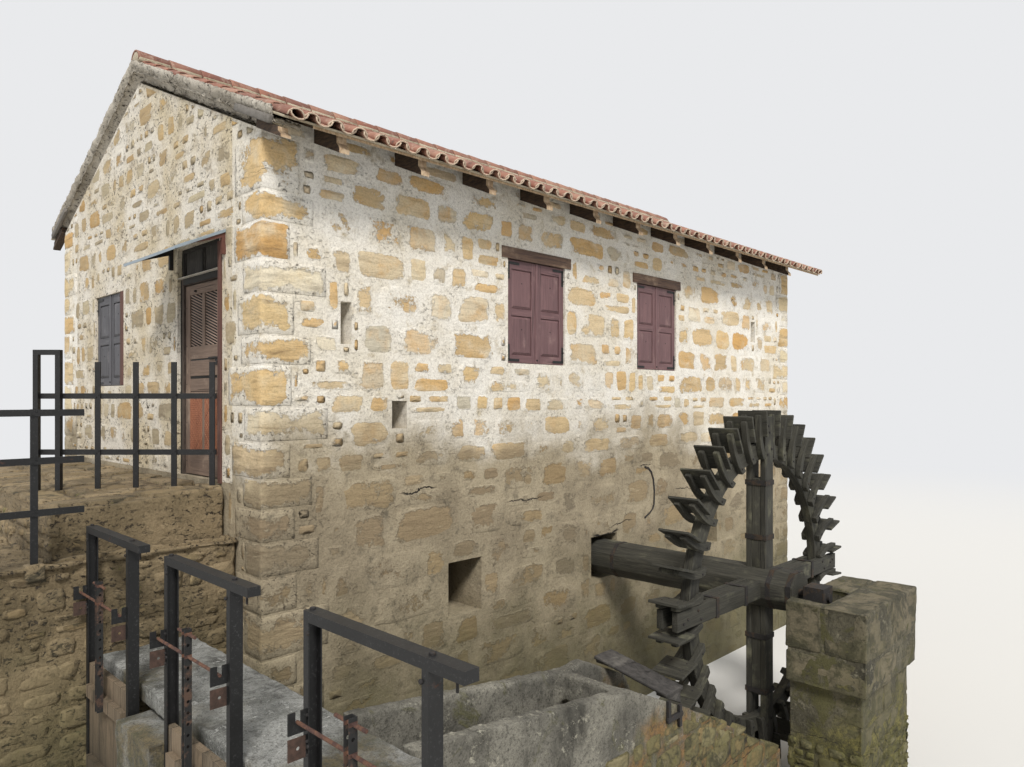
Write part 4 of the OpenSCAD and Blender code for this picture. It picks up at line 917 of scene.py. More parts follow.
def shell_faces(turns):
    """The faces of a thin bent shell of three rings, each an outer row of points and an inner one back."""
    faces = rings_to_faces(3, 2 * (turns + 1))
    last = 4 * (turns + 1)
    for k in range(turns):
        a, b, c, d = k, k + 1, 2 * turns - k, 2 * turns + 1 - k
        faces += [(a, d, c, b), (last + a, last + b, last + c, last + d)]
    return faces


def barrel(pile, start, along, out, x, s, length, shape, tone, lip):
    """A clay barrel tile: a thin curved shell from its lower end up the slope, and as a pan a hollow one."""
    turns, points, grain, edges = 6, [], [], []
    wide, low, tall = shape
    skew = rng.uniform(-0.006, 0.006)
    shift = random_place()
    for t in (0.0, 0.06, 1.0):
        shrink = 1 - TILE_NARROWING * t
        for skin, order in ((0.0, 1), (TILE_SKIN, -1)):
            for k in range(turns + 1)[::order]:
                a = math.pi * k / turns
                across = (wide / 2 * shrink - skin) * math.cos(a)
                high = (tall * shrink - skin) * math.sin(a)
                high = low - high + tall if shape is PAN else low + high
                lift = out * (high + TILE_TIP * (1 - t))
                points.append(start + X * (x + across + skew * t) + along * (s + length * t) + lift)
                grain.append(shift + np.array([t * length, across, high]))
                edges.append(lip if t < 0.01 else 0.0)
    pile.add(points, faced(shell_faces(turns), X, along, -out if shape is PAN else out), grain, tone, edges)


def tile_roof(name, node, start, up, out):
    """One slope of tiles on a bed of mortar. Each column has a pan, with a cover over its seam."""
    pile, fill = Pile(), Pile()
    whole = (WIDTH / 2 - EAVE_Y) / RUN
    pitch = whole / (TILE_ROWS - 0.5)
    turn = ROOF_LENGTH / TILE_COLUMNS
    for i in range(TILE_COLUMNS + 1):
        edge_x = ROOF_START + i * turn
        for k in range(TILE_ROWS):
            s = k * pitch + rng.uniform(-0.010, 0.010) + (0.012 if k == 0 else 0)
            length = min(TILE_LENGTH, whole - 0.005 - s)
            lip = 0.9 if k == 0 else 0.45
            tone = min(max(rng.gauss(0.5, 0.24), 0), 1)
            if i < TILE_COLUMNS:
                pan_x = edge_x + turn / 2 + rng.uniform(-0.004, 0.004)
                barrel(pile, start, up, out, pan_x, s - 0.008 * (k > 0), length, PAN, tone, lip)
            over_x = min(max(edge_x, 0.036), LENGTH + 0.254) + rng.uniform(-0.003, 0.003)
            barrel(pile, start, up, out, over_x, s, length, COVER, rng.random(), lip)
    beds = 24
    for i in range(beds):
        x = ROOF_START + (i + 0.5) * ROOF_LENGTH / beds
        board(fill, start + X * x + up * (whole / 2 + 0.02) + out * 0.012, X, up,
              (ROOF_LENGTH / beds, whole - 0.06, 0.022), bevel=0.003, wobble=0.002)
    pile.build(name, "clay_tile", "clay", (node,))
    fill.build(name + "_bed", "verge_mortar", "upper_mortar_own")


def ridge():
    """The ridge tiles, each over the narrow end of the one before, on two rows of rough mortar."""
    pile, fill = Pile(), Pile()
    top = RIDGE + 0.2803 / RUN - 0.060
    count, turns, outer, inner, longest = 30, 8, 0.1335, 0.1195, 0.43
    step = ROOF_LENGTH / count
    for i in range(count):
        x = ROOF_START + i * ROOF_LENGTH / count
        start = np.array([x, WIDTH / 2, top])
        points, grain, edges = [], [], []
        length = min(longest, LENGTH + 0.35 - x)
        for t in (0.0, 0.08, 1.0):
            for radius, order in ((outer, 1), (inner, -1)):
                for k in range(turns + 1)[::order]:
                    a = math.pi * (k / turns * 1.06 - 0.03)
                    offset = (Y * math.cos(a) + Z * math.sin(a)) * (radius - 0.012 * t)
                    points.append(start + X * (length * t) + offset)
                    grain.append(np.array([i * 7.3 + length * t, offset[1], offset[2]]))
                    edges.append(0.6 if t < 0.01 else 0.0)
        pile.add(points, shell_faces(turns), grain, rng.random(), edges)
        for side in (-1, 1):
            board(fill, start + X * (step / 2) + Y * (0.112 * side) - Z * 0.014, X, Y,
                  (step - 0.002, 0.07, 0.07), bevel=0.02, cuts=2, wobble=0.008)
    for x, out in ((-0.045, -X), (LENGTH + 0.325, X)):
        lump(fill, (x, WIDTH / 2, top + 0.012), out, 0.105, 0.02, 14)
    pile.build("ridge_barrels", "clay_tile", "clay", ("ridge_tiles",))
    fill.build("ridge_mortar", "verge_mortar", "upper_mortar_own")


tile_bed = EAVE + EAVE_Y * SLOPE + 0.165 / RUN
tile_roof("waterside_barrels", "waterside_tiles", np.array([0, EAVE_Y, tile_bed]),
          np.array([0, RUN, SLOPE * RUN]), np.array([0, -SLOPE * RUN, RUN]))
tile_roof("back_barrels", "back_tiles", np.array([0, WIDTH - EAVE_Y, tile_bed]),
          np.array([0, -RUN, SLOPE * RUN]), np.array([0, SLOPE * RUN, RUN]))
ridge()


# Shutters and door

def hinge_straps(iron, at, wide, out, edge, inward, h, face):
    """The straps and corner angles at the top and the bottom of one shutter leaf, with their rivets."""
    for z, turn in ((0.035, 1), (h - 0.04, -1)):
        strap = at(edge + inward * 0.115, z, face + 0.002)
        angle = at(edge + inward * 0.026, z + turn * 0.10, face + 0.002)
        board(iron, strap, wide, Z, (0.21, 0.034, 0.005), None, 0.002, taper=0.9)
        board(iron, angle, Z, wide, (0.20, 0.040, 0.005), None, 0.002, taper=0.9)
        lump(iron, at(edge + inward * 0.02, z + turn * 0.13, face - 0.008), out, 0.019, 0.028)
        for x, rise in ((0.05, 0), (0.115, 0), (0.18, 0), (0.026, 0.18)):
            lump(iron, at(edge + inward * x, z + turn * rise, face + 0.004), out, 0.006, 0.004)


def shutter_pairs(name, slot, paint, node, places, height):
    """Two-leaf shutters. Each window gives its left lower corner and the directions across and outward."""
    wood, iron = Pile(), Pile()
    inset, thick, gap, stile = 0.025, 0.042, 0.006, 0.085
    foot, rail, head = 0.10, 0.09, 0.115
    leaf_w, h = (WINDOW_WIDTH - 3 * gap) / 2, height - 2 * gap
    field_w, panel_h = leaf_w - 2 * stile, (h - head - foot - rail) / 2
    for corner, wide, out in places:
        for side in (0, 1):
            base = corner + wide * (gap + side * (leaf_w + gap)) + Z * gap - out * (inset + thick / 2)

            def at(x, z, deep=0.0):
                return base + wide * x + Z * z + out * deep

            shade = rng.uniform(0.2, 0.8)
            for x in (stile / 2, leaf_w - stile / 2):
                board(wood, at(x, h / 2), Z, wide, (h, stile, thick), shade, 0.004, 3, 0.0006)
            for low, high in ((0, foot), (foot + panel_h, foot + rail + panel_h), (h - head, h)):
                board(wood, at(leaf_w / 2, (low + high) / 2, -0.001), wide, Z,
                      (field_w + 0.004, high - low, thick - 0.002), shade + 0.1, 0.004, 2)
            for low in (foot, foot + rail + panel_h):
                middle = at(leaf_w / 2, low + panel_h / 2, thick / 2)
                board(wood, middle - out * 0.03, Z, wide, (panel_h, field_w, 0.018), shade)
                raised_panel(wood, middle, wide, out, field_w, panel_h, rng.random())
                lump(iron, middle + Z * panel_h * 0.16 - out * 0.003, out, 0.009, 0.006)
            hinge_straps(iron, at, wide, out, side * leaf_w, 1 - 2 * side, h, thick / 2)
        strip = corner + wide * (WINDOW_WIDTH / 2) - out * (inset - 0.004)
        board(wood, strip + Z * (height / 2), Z, wide, (height - 0.014, 0.042, 0.014), 0.9, 0.005, 3)
        lump(iron, strip + Z * 0.05 + out * 0.004, out, 0.013, 0.018)
    wood.build(name, slot, paint, (node,), sharp=30)
    iron.build(name + "_irons", "black_steel", "black_steel_own", sharp=40)


shutter_pairs("waterside_leaves", "shutter_paint", "shutter_wood", "waterside_shutters",
              [(np.array([x, 0, WINDOW_SILL]), X, -Y) for x in WINDOW_LEFTS], 1.3)
shutter_pairs("back_leaves", "shutter_paint", "shutter_wood", "back_shutters",
              [(np.array([x, WIDTH, WINDOW_SILL]), X, Y) for x in WINDOW_LEFTS], 1.3)
shutter_pairs("gable_leaves", "shutter_grey", "grey_shutter_wood", "gable_shutters",
              [(np.array([0, 4.76, 1.0]), -Y, -X)], 1.21)


def lattice(pile, left, low, w, h, slope, pitch, x, wide):
    """Slanting strips across a door panel from its lower left corner, with their rise for each metre."""
    first = int(min(0.0, -slope * w) / pitch)
    for k in range(first, int((h - min(0.0, slope * w)) / pitch) + 1):
        ends = []
        for y in (0.0, w):
            z = k * pitch + slope * y
            held = min(max(z, 0.0), h)
            ends.append((y + (held - z) / slope, held))
        (y0, z0), (y1, z1) = ends
        if y1 - y0 < 0.02:
            continue
        span = math.hypot(y1 - y0, z1 - z0)
        along = np.array([0, (y1 - y0) / span, (z1 - z0) / span])
        middle = (x, left + (y0 + y1) / 2, low + (z0 + z1) / 2)
        board(pile, middle, along, np.cross(X, along), (span, wide, 0.004), bevel=0.001)


def upright(pile, middle, *shape, **more):
    """A board of the door that stands, with its width across the door."""
    board(pile, middle, Z, Y, *shape, **more)


def level(pile, middle, *shape, **more):
    """A board of the door that lies across it, with its width upright."""
    board(pile, middle, Y, Z, *shape, **more)


DOOR_MIDDLE = 1.42


def door_leaf():
    wood, iron, bars, warm, panes, dark = (Pile() for _ in range(6))
    face, y, low_y, high_y = 0.070, DOOR_MIDDLE, 0.968, 1.872
    for side in (low_y + 0.058, high_y - 0.058):
        upright(wood, (face - 0.003, side, 1.04), (2.056, 0.106, 0.012), 0.3, 0.002, 5, 0.0005)
    rails = ((0.014, 0.25, 0.25), (0.87, 0.908, 0.4), (1.262, 1.40, 0.55), (1.962, 2.068, 0.5))
    for low, high, tone in rails:
        level(wood, (face - 0.002, y, (low + high) / 2), (0.688, high - low, 0.010), tone, 0.003, 3, 0.0005)
    upright(wood, (face - 0.002, y, 1.681), (0.562, 0.066, 0.008), 0.4, 0.002, 3)
    for low, high in ((0.914, 1.050), (1.078, 1.246)):
        level(wood, (face - 0.001, y, (low + high) / 2), (0.680, high - low, 0.012), 0.8, 0.005, 3, 0.001)
    # A near-black sheet behind the rails, seen in the gaps between them as painted shade.
    level(dark, (face - 0.0005, y, 1.16), (0.686, 0.22, 0.003), 0.4, 0.001)
    upright(wood, (face - 0.001, y, 0.56), (0.62, 0.07, 0.008), 0.9, 0.002, 3)
    for left, right in ((1.078, 1.387), (1.453, 1.762)):
        # The panes are near-black sheets behind the lights: painted shade for the dark room behind the door.
        upright(panes, (face + 0.019, (left + right) / 2, 1.681), (0.562, right - left, 0.004), 0.1, 0.001)
        # The upper strips are painted paler than their wood, as painted sunlight on them.
        lattice(bars, left, 1.40, right - left, 0.562, 0.3, 0.031, face + 0.006, 0.013)
        for k in range(3):
            upright(warm, (face - 0.002, left + (k + 0.5) * 0.103, 0.56), (0.62, 0.102, 0.008),
                    0.2 + 0.25 * k, 0.002, 3, 0.0005)
        for slope in (1, -1):
            lattice(warm, left, 0.25, right - left, 0.62, slope, 0.042, face - 0.008, 0.010)
    for z in (1.20, 1.24):
        level(iron, (face - 0.012, 1.06, z), (0.12, 0.030, 0.006), bevel=0.002)
    lump(iron, (face - 0.012, 1.03, 1.22), -X, 0.020, 0.030)
    level(iron, (face - 0.020, 1.13, 1.262), (0.26, 0.018, 0.016), bevel=0.004)
    lump(iron, (face - 0.004, 1.60, 1.995), -X, 0.014, 0.030)
    for k in range(5):
        for side in (low_y + 0.03, high_y - 0.03):
            lump(iron, (face - 0.009, side, 0.15 + 0.42 * k), -X, 0.007, 0.004)
    wood.build("door_boards", "door_wood", "door_wood", sharp=30, body="door")
    bars.build("door_lattice", "door_wood", "lattice_wood", sharp=30, body="door")
    iron.build("door_irons", "black_steel", "rust_iron_own", sharp=40, body="door")
    warm.build("door_mesh_panels", "door_wood", "warm_wood", sharp=30, body="door")
    panes.build("door_panes_painted_shade", "door_wood", "night_wood", body="door")
    dark.build("door_groove_painted_shade", "door_wood", "night_wood", body="door")


def door_frame():
    """Boards on the frames of the door and the gable window, the sheet over the door and the lips of the
    canopy."""
    frame_boards, shade, flashing, lips = (Pile() for _ in range(4))
    y = DOOR_MIDDLE
    upright(frame_boards, (0.038, 0.925, 1.075), (2.146, 0.068, 0.008), 0.6, 0.003, 5, 0.001)
    upright(frame_boards, (-0.009, 0.857, 1.20), (2.44, 0.066, 0.022), 0.6, 0.004, 6, 0.001)
    # The boards of the shade pile, on the left jamb and over the transom, are near-black as painted shade.
    upright(shade, (0.038, 1.937, 1.075), (2.146, 0.024, 0.008), 0.6, 0.003, 5, 0.001)
    level(shade, (0.038, y, 2.115), (0.92, 0.066, 0.008), 0.4, 0.003, 3, 0.001)
    for z in (2.17, 2.46):
        level(shade, (0.056, y, z), (1.056, 0.04, 0.010), 0.2, 0.003, 3)
    for side, wide in ((0.92, 0.06), (y, 0.03), (1.92, 0.06)):
        upright(shade, (0.055, side, 2.315), (0.27, wide, 0.012), 0.3, 0.003, 2)
    upright(frame_boards, (0.006, 3.735, 1.605), (1.2, 0.13, 0.016), 0.2, 0.003, 4, 0.001)
    board(flashing, (0.018, 1.40, 2.158), Y, X, (1.14, 0.052, 0.006), 0.9, 0.002, 4, 0.002)
    fall = np.array([0.5, 0, 0.24]) / math.hypot(0.5, 0.24)
    for side in (0.7285, 2.1115):
        board(lips, (-0.25, side, 2.388), fall, np.cross(Y, fall), (0.556, 0.028, 0.004),
              0.4, 0.001, 5, 0.0008)
    level(lips, (-0.5015, y, 2.264), (1.384, 0.028, 0.004), 0.6, 0.001, 8, 0.0008)
    shade.build("door_frame_shade", "frame_wood", "night_wood", sharp=30)
    frame_boards.build("door_frame_boards", "frame_wood", "jamb_wood", sharp=30)
    flashing.build("door_flashing", "sheet_metal", "pale_strip", sharp=30)
    lips.build("canopy_lips", "sheet_metal", "lip_metal", sharp=30)


door_leaf()
door_frame()


# Water wheel

AXIS = np.array([5.19, -2.335, -1.41])
# The floats stand 10 degrees apart, and the first one 5 degrees past an arm
FLOATS, FLOAT_STEP, FLOAT_FIRST = 36, 10, 5
RIM_INNER, RIM_OUTER, RIM_HALF = 1.52, 1.70, 0.055
SIDE_TIMBER, HUB, SHAFT_HALF = 0.0903, 0.2253, 0.225


def turned(degrees):
    """Directions at an angle of the wheel: outward from the axis, and onward along the rim."""
    a = math.radians(degrees)
    return np.array([math.cos(a), 0, math.sin(a)]), np.array([-math.sin(a), 0, math.cos(a)])


def loft(pile, rings, shift, edges, tone=None):
    """A closed solid through rings of (point, grain) pairs, with an edge value for each ring."""
    points, grain = zip(*(pair for ring in rings for pair in ring))
    size = len(rings[0])
    pile.add(points, rings_to_faces(len(rings), size, True, True), shift + np.array(grain),
             rng.random() if tone is None else tone, np.repeat(edges, size))


def start_timber(pile, index, side):
    """A curved foot beside the rim that carries one float, cut back where an arm stands beside it."""
    out, on = turned(FLOAT_FIRST + FLOAT_STEP * index)
    lean, clear, thin = math.radians(FLOAT_FIRST), 0.106, 0.012
    after_arm, before_arm = index % 9 == 0, index % 9 == 8
    rings, edges = [], []
    shift = random_place()
    for t in (0.0, 0.02, 0.14, 0.28, 0.42, 0.56, 0.7, 0.84, 0.98, 1.0):
        r = 1.53 + 0.53 * t
        low = 0.0153 - 0.095 * (1 - min(1, t * 1.6)) ** 2
        high = low + 0.09 * (1 - t) + 0.045 * t
        if before_arm:
            high = min(high, (r * math.sin(lean) - clear) / math.cos(lean))
            low = min(low, high - thin)
        if after_arm:
            low = max(low, (clear - r * math.sin(lean)) / math.cos(lean))
            high = max(high, low + thin)
        end = t in (0.0, 1.0)
        inset, b = (0.004, 0.009) if end else (0.0, 0.005)
        half, low, high = 0.034 - inset, low + inset, high - inset
        ring = []
        for y, u in bevelled(half, low, high, b):
            u += rng.uniform(-0.0012, 0.0012)
            ring.append((AXIS + Y * (side * SIDE_TIMBER + y) + out * r + on * u, (r, y, u)))
        rings.append(ring)
        edges.append(1.0 if end else 0.0)
    loft(pile, rings, shift, edges)


def felloe(pile, first, last):
    """One curved timber of the rim between two angles."""
    rings, edges = [], []
    shift = random_place()
    count, b, half, low, high = 9, 0.006, RIM_HALF, RIM_INNER, RIM_OUTER
    run = 1.6 * math.radians(last - first)
    for k in range(count + 1):
        out, on = turned(first + (last - first) * k / count)
        ring = []
        for y, r in ((b - half, low), (-half, low + b), (-half, high - b), (b - half, high),
                     (half - b, high), (half, high - b), (half, low + b), (half - b, low)):
            r += rng.uniform(-0.0025, 0.0025)
            ring.append((AXIS + Y * y + out * r, (run * k / count, y, r)))
        rings.append(ring)
        edges.append(1.0 if k in (0, count) else 0.15)
    loft(pile, rings, shift, edges)


def floats_and_starts(floats, starts, iron):
    for i in range(FLOATS):
        out, on = turned(FLOAT_FIRST + FLOAT_STEP * i)
        for r, wide in ((1.8825, 0.163), (2.0375, 0.143)):
            board(floats, AXIS + out * r, Y, out, (0.365, wide, 0.028 + rng.uniform(-0.002, 0.001)),
                  None, 0.004, 4, 0.0015)
        for side in (-1, 1):
            start_timber(starts, i, side)
            for r in (1.86, 1.99):
                lump(iron, AXIS + out * r - on * 0.0145 + Y * side * 0.09, -on, 0.011, 0.006, 6)
            if i % 9 not in (0, 8):
                nut(iron, AXIS + out * 1.60 + on * 0.005 + Y * side * 0.1245, Y * side, 0.012, 0.010)


def wheel_arm(arms, iron, turn):
    """The two outer timbers of an arm with their bolts, and the block between them."""
    out, on = turned(turn)
    low = HUB if turn in (0, 180) else 0.0
    for side in (-1, 1):
        board(arms, AXIS + out * (low + 2.03) / 2 + Y * side * SIDE_TIMBER, out, on,
              (2.03 - low, 0.199, 0.0695), None, 0.006, 9, 0.0018)
        for r, t in ((1.58, 0.05), (1.64, -0.05), (1.84, 0.0), (1.92, 0.03)):
            nut(iron, AXIS + out * r + on * t + Y * side * 0.125, Y * side, 0.014, 0.013)
    board(arms, AXIS + out * (HUB + 1.29) / 2, out, on, (1.29 - HUB, 0.19, 0.109), None, 0.006, 5, 0.002)


def axle(pile):
    """The eight-sided shaft, with bevelled corners."""
    rings, edges = [], []
    first, last, count = -2.83, 0.30, 14
    corner = SHAFT_HALF / math.cos(math.radians(22.5))
    for k in range(count + 1):
        y = first + (last - first) * k / count
        end = k in (0, count)
        ring = []
        for c in range(8):
            for turn in (-1.6, 1.6):
                a = math.radians(22.5 + 45 * c + turn)
                r = corner * (0.96 if end else 0.995) + rng.uniform(-0.004, 0.002)
                x, z = r * math.cos(a), r * math.sin(a)
                ring.append((np.array([AXIS[0] + x, y, AXIS[2] - z]), (y, x, z)))
        rings.append(ring)
        edges.append(1.0 if end else 0.1)
    loft(pile, rings, np.zeros(3), edges, 0.4)


def wheel():
    floats, starts, arms, rim, shaft, iron = (Pile() for _ in range(6))
    floats_and_starts(floats, starts, iron)
    for k in range(8):
        felloe(rim, 22.5 + 45 * k + 0.08, 22.5 + 45 * (k + 1) - 0.08)
    for turn in (0, 90, 180, 270):
        wheel_arm(arms, iron, turn)
    axle(shaft)
    # All the wooden parts of the wheel take the dark wheel wood, whose colour holds painted shade.
    for pile, name, node, sharp in ((floats, "wheel_paddles", "wheel_floats", 35),
                                    (starts, "wheel_feet", "wheel_starts", 35),
                                    (arms, "wheel_spokes", "wheel_arms", 35),
                                    (rim, "wheel_felloes", "wheel_rim", 35),
                                    (shaft, "wheel_axle", "wheel_shaft", 30)):
        pile.build(name, "wheel_wood", "wheel_wood", (node,), sharp=sharp, body="wheel")
    iron.build("wheel_bolts", "wheel_iron", "rust_iron_own", sharp=40, body="wheel")


wheel()


# Pier, terrace and bank

def plane(x, y, along, out, depth=0.0):
    """An upright plane for stones through a point, some way behind the face."""
    return np.array([x, y, 0.0]) - out * depth, along, Z, out


def stone_group(name, slot, paint, jobs):
    pile = Pile()
    for job in jobs:
        lay_wall(pile, *job, split=0.12, sink=0.05)
    pile.build(name, slot, paint)


def rough_block(pile, low, high, depth, step=0.055, round_by=0.03):
    """A weathered block: a box with rounded edges whose faces are worn inward by fractal noise."""
    low, high = np.array(low), np.array(high)
    shift = random_place()
    stops = [np.concatenate(([0, 0.012], np.linspace(0.03, size - 0.03, max(2, round(size / step))),
                             [size - 0.012, size])) for size in high - low]
    index, points, grain, edges, faces = {}, [], [], [], []

    def corner(key):
        if key not in index:
            index[key] = len(points)
            spot = low + np.array([stops[a][key[a]] for a in range(3)])
            core = np.clip(spot, low + round_by, high - round_by)
            way = spot - core
            way /= np.linalg.norm(way)
            wear = 0.5 + 0.5 * noise.fractal(((spot + shift) * 2.6).tolist(), 0.75, 2.1, 6)
            points.append(core + way * (round_by - depth * min(max(wear, 0), 1)))
            grain.append(shift + spot[[0, 2, 1]])
            near = sorted(np.minimum(spot - low, high - spot))[1]
            edges.append(max(0.0, 1 - near / 0.12))
        return index[key]

    for axis in range(3):
        a, b = [k for k in range(3) if k != axis]
        for end in (0, len(stops[axis]) - 1):
            for i in range(len(stops[a]) - 1):
                for j in range(len(stops[b]) - 1):
                    ring = []
                    for da, db in ((0, 0), (1, 0), (1, 1), (0, 1)):
                        key = [0, 0, 0]
                        key[axis], key[a], key[b] = end, i + da, j + db
                        ring.append(corner(tuple(key)))
                    faces.append(tuple(ring if (end > 0) != (axis == 1) else ring[::-1]))
    pile.add(points, faces, grain, rng.random(), edges)


PIER_BLOCKS = (
    ((4.655, -3.755, -1.905), (6.325, -3.29, -1.372)), ((4.655, -3.285, -1.9), (4.855, -2.875, -1.375)),
    ((5.525, -3.285, -1.9), (6.325, -2.875, -1.378)), ((4.66, -3.75, -2.27), (5.62, -2.875, -1.915)),
    ((5.63, -3.745, -2.27), (6.32, -2.875, -1.915)), ((4.735, -3.685, -2.60), (5.40, -2.88, -2.275)),
    ((5.41, -3.68, -2.62), (6.25, -2.88, -2.275)), ((4.74, -3.68, -2.88), (5.95, -2.88, -2.61)),
    ((5.96, -3.675, -2.86), (6.25, -2.88, -2.63)))


def pier():
    """The worn ashlar of the wheel pier, and the rubble under it."""
    blocks = Pile()
    for low, high in PIER_BLOCKS:
        rough_block(blocks, low, high, 0.03)
    blocks.build("pier_blocks", "mossy_stone", "pier_stone", sharp=50)
    x0, y0, x1, y1 = 4.72, -3.69, 6.26, -2.87
    sides = ((x0, y0, X, -Y, x1 - x0), (x0, y1, X, Y, x1 - x0),
             (x0, y0, Y, -X, y1 - y0), (x1, y0, Y, X, y1 - y0))
    stone_group("pier_rubble", "mossy_stone", "rubble", [
        (plane(x, y, along, out, 0.03), (0, BASE, size, -2.87), (0.09, 0.19), (0.1, 0.28), 0.02, 0.04, (), ())
        for x, y, along, out, size in sides])


def terrace():
    """The stones of the terrace and the bank wall, and the paving, which falls a little from the door."""
    foot, edge = -0.58, -0.16
    faces = ((plane(-1.55, 0, Y, -X, 0.035), (0.7, BASE, 6.2, edge), ((0, BASE, 2.1, -0.5),)),
             (plane(0, 0.7, X, -Y, 0.06), (-1.55, -0.5, 0.0, edge), ()),
             (plane(0, 0.4255, X, -Y, 0.06), (-2.6, BASE, 0.0, foot), ()),
             (plane(-2.6, 0, Y, -X, 0.06), (0.4255, BASE, 2.1, foot), ()),
             (plane(0, 2.1, X, Y, 0.06), (-2.6, BASE, -1.55, foot), ()),
             (plane(0, 6.2, X, Y, 0.035), (-1.55, BASE, 0.0, edge), ()))
    stone_group("terrace_stones", "weathered_stone", "bank_stone", [
        (face, area, (0.12, 0.26), (0.16, 0.5), 0.035, 0.03, holes, ()) for face, area, holes in faces])
    fall = np.array([0.07 / 1.55, 0, 1.0]) / math.hypot(1, 0.07 / 1.55)
    top = (Z * -0.045, np.array([fall[2], 0, 0.0451]), Y, np.array([-fall[0], 0, fall[2]]))
    stone_group("terrace_paving", "weathered_stone", "bank_stone", [
        (top, (-1.5, 0.75, 0.0, 6.15), (0.5, 0.9), (0.5, 0.9), 0.02, 0.012, (), ())])


def flume_foot():
    """Stones under the flume, cut along the line of its sloping wall."""
    face = plane(0, -2.84, X, -Y)
    slope, line = 0.458, -1.59 + 1.85 * 0.458
    low, high = ((slope, 1.0, line - 0.12),), ((slope, 1.0, line - 0.03),)
    stone_group("flume_foot_stones", "mossy_stone", "foot_stone", [
        (face, (-0.4, BASE, 4.6, -2.05), (0.13, 0.28), (0.16, 0.5), 0.03, 0.02, (), low),
        (face, (2.75, -2.6, 4.6, -2.0), (0.14, 0.24), (0.16, 0.4), 0.02, 0.02, (), high)])


def kneelers():
    """Smooth slabs under the rough mortar of the verge, at its lower ends."""
    pile = Pile()
    z = EAVE + 0.012 * SLOPE + (0.079 + 0.034) / RUN
    for y, turn in ((0.012, 1), (WIDTH - 0.012, -1)):
        board(pile, (-0.079, y, z), (0, turn * RUN, SLOPE * RUN), (0, -turn * SLOPE * RUN, RUN),
              (0.74, 0.072, 0.046), 0.5, 0.005, 6, 0.002)
    pile.build("kneeler_slabs", "verge_mortar", "kneeler")


pier()
terrace()
flume_foot()
kneelers()


# Irons of the railings, the gate frames and the walls

RAIL_TURN = math.radians(134.5)
RAIL_ALONG = np.array([math.cos(RAIL_TURN), math.sin(RAIL_TURN), 0])
RAIL_OFF = np.array([-math.sin(RAIL_TURN), math.cos(RAIL_TURN), 0])
RAIL_FOOT = np.array([-0.08, 0.87, 0.0])
RAIL_POSTS = (0, 0.38, 0.76, 1.14, 1.52, 1.74)
BANK_POSTS = (-2.45, -2.075, -1.7)
GATES_Y = (-0.07, -1.757, -3.576)


def railing_bolts():
    iron = Pile()
    for post in RAIL_POSTS[:-1]:
        for z in (0.3, 0.86):
            for slip in (-0.012, 0.012):
                spot = RAIL_FOOT + RAIL_ALONG * (post + slip) + Z * (z - slip)
                for off in (RAIL_OFF, -RAIL_OFF):
                    nut(iron, spot + off * 0.012, off, 0.008, 0.007)
    for x in BANK_POSTS:
        for z in (-0.09, 0.33, 0.72):
            for slip in (-0.012, 0.012):
                nut(iron, (x + slip, 0.4735, z + slip), -Y, 0.008, 0.007)
    iron.build("railing_bolts", "black_steel", "black_steel_own", sharp=40)


def gate_bolts():
    iron = Pile()
    for y in GATES_Y:
        for side in (-1, 1):
            nut(iron, (-1.3, y + side * 0.473, -0.228), Z, 0.016, 0.012)
            for z in (-0.335, -0.9, -1.6):
                nut(iron, (-1.341, y + side * 0.45, z), -X, 0.012, 0.009)
            for z in (-0.735, -0.805, -0.935, -0.865):
                nut(iron, (-1.355, y + side * 0.438, z), -Y * side, 0.008, 0.006)
        nut(iron, (-1.3, y - 0.63, -0.283), -Z, 0.018, 0.016)
        board(iron, (-1.3, y - 0.63, -0.29), Z, X, (0.11, 0.012, 0.012), bevel=0.003)
    iron.build("gate_bolts", "black_steel", "rust_iron_own", sharp=40)


def post_feet():
    """Small worn pads at the feet of the railing posts, on the paving and on the bank wall."""
    pads = Pile()
    spots = [tuple((RAIL_FOOT + RAIL_ALONG * post)[:2]) for post in RAIL_POSTS]
    spots = [(x, y, -0.025 + 0.0452 * x) for x, y in spots] + [(x, 0.505, -0.5) for x in BANK_POSTS]
    for x, y, top in spots:
        low, high = (x - 0.075, y - 0.07, top - 0.14), (x + 0.075, y + 0.075, top + 0.006)
        rough_block(pads, low, high, 0.012, 0.03, 0.025)
    pads.build("post_feet", "weathered_stone", "bank_stone", sharp=50)


def wall_irons():
    """A curved tie on the waterside wall, and a bent strap on the flume under the end of its plank."""
    iron = Pile()
    spots = ((6.195, -0.208), (6.289, -0.235), (6.37, -0.30), (6.425, -0.41), (6.452, -0.584), (6.444, -0.8),
             (6.40, -0.87), (6.316, -0.925), (6.195, -0.977))
    for k, ((x0, z0), (x1, z1)) in enumerate(zip(spots, spots[1:])):
        span = math.hypot(x1 - x0, z1 - z0)
        along = np.array([x1 - x0, 0, z1 - z0]) / span
        board(iron, ((x0 + x1) / 2, -0.008, (z0 + z1) / 2), along, np.cross(along, Y),
              (span + 0.012, 0.034 - 0.002 * k, 0.016), bevel=0.004, wobble=0.001)
    for z in (-0.209, -0.975):
        lump(iron, (6.20, -0.014, z), -Y, 0.016, 0.012)
    for x, top in ((2.365, -1.832), (2.545, -1.914)):
        board(iron, (x, -2.862, top - 0.1), Z, X, (0.2, 0.04, 0.03), bevel=0.003, wobble=0.001)
    board(iron, (2.455, -2.866, -2.0), X, Z, (0.24, 0.045, 0.03), bevel=0.003, wobble=0.001)
    iron.build("wall_irons", "wheel_iron", "rust_iron_own", sharp=40)


railing_bolts()
gate_bolts()
post_feet()
wall_irons()


# Stage

SKY = "#e9eaec"


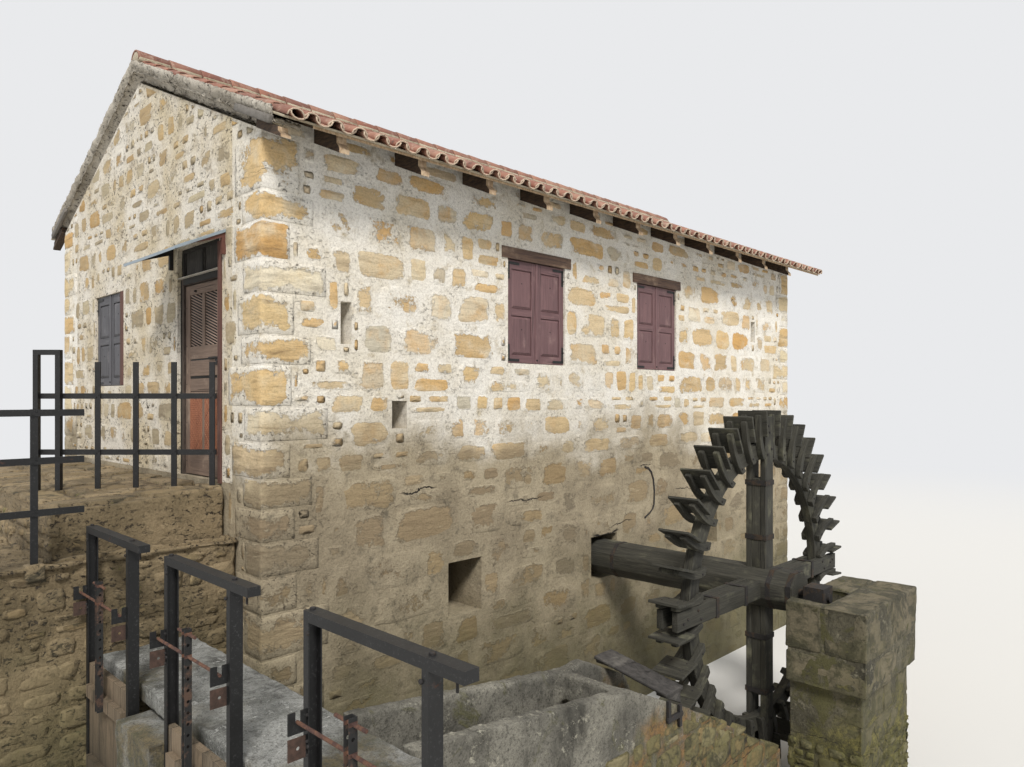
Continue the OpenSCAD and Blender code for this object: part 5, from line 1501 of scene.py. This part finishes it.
def stage_floor():
    """A pale floor that melts into the background far from the mill."""
    mesh = bpy.data.meshes.new("floor")
    mesh.from_pydata([(-90, -90, 0), (90, -90, 0), (90, 90, 0), (-90, 90, 0)], [], [(0, 1, 2, 3)])
    p = Paint("floor_paint", 0.9, own=False)
    put(p.tree, p.shader.inputs["Base Color"], "#dcdad5")
    reach = p.node("VectorMath", {0: p.world}, operation="LENGTH").outputs["Value"]
    glow = p.node("Emission", {"Color": SKY})
    far = {0: p.span(reach, 16.0, 48.0), 1: p.shader.outputs[0], 2: glow.outputs[0]}
    put(p.tree, p.out.inputs[0], p.node("MixShader", far).outputs[0])
    mesh.materials.append(p.mat)
    floor = bpy.data.objects.new("floor", mesh)
    bpy.context.collection.objects.link(floor)


def sunlight():
    sun = bpy.data.lights.new("key", "SUN")
    sun.energy = 3.1
    sun.angle = math.radians(14)
    sun.color = (1.0, 0.975, 0.945)
    lamp = bpy.data.objects.new("key", sun)
    lamp.rotation_euler = (math.radians(44), 0, math.radians(-38))
    bpy.context.collection.objects.link(lamp)


def studio():
    """Cool light from all sides, with a pale grey where the camera or a mirror looks."""
    world = bpy.data.worlds.new("studio")
    world.use_nodes = True
    tree = world.node_tree
    shade = tree.nodes["Background"]
    put(tree, shade.inputs["Color"], (0.93, 0.96, 1.0, 1))
    put(tree, shade.inputs["Strength"], 0.56)
    back = add_node(tree, "Background", {"Color": SKY})
    path = add_node(tree, "LightPath", {}).outputs
    seen = add_node(tree, "Math", {0: path["Is Camera Ray"], 1: path["Is Glossy Ray"]}, operation="MAXIMUM")
    pick = add_node(tree, "MixShader", {0: seen.outputs[0], 1: shade.outputs[0], 2: back.outputs[0]})
    put(tree, tree.nodes["World Output"].inputs[0], pick.outputs[0])
    bpy.context.scene.world = world


def camera():
    data = bpy.data.cameras.new("camera")
    data.lens = 26.016
    data.sensor_width = 36.0
    data.shift_y = 0.0142
    eye = bpy.data.objects.new("camera", data)
    eye.location = ORIGIN + np.array([-3.27, -6.44, 0.84])
    eye.rotation_euler = (math.radians(90), 0, math.radians(44.38 - 90))
    bpy.context.collection.objects.link(eye)
    bpy.context.scene.camera = eye


stage_floor()
sunlight()
studio()
camera()
bpy.context.scene.view_settings.view_transform = "Standard"
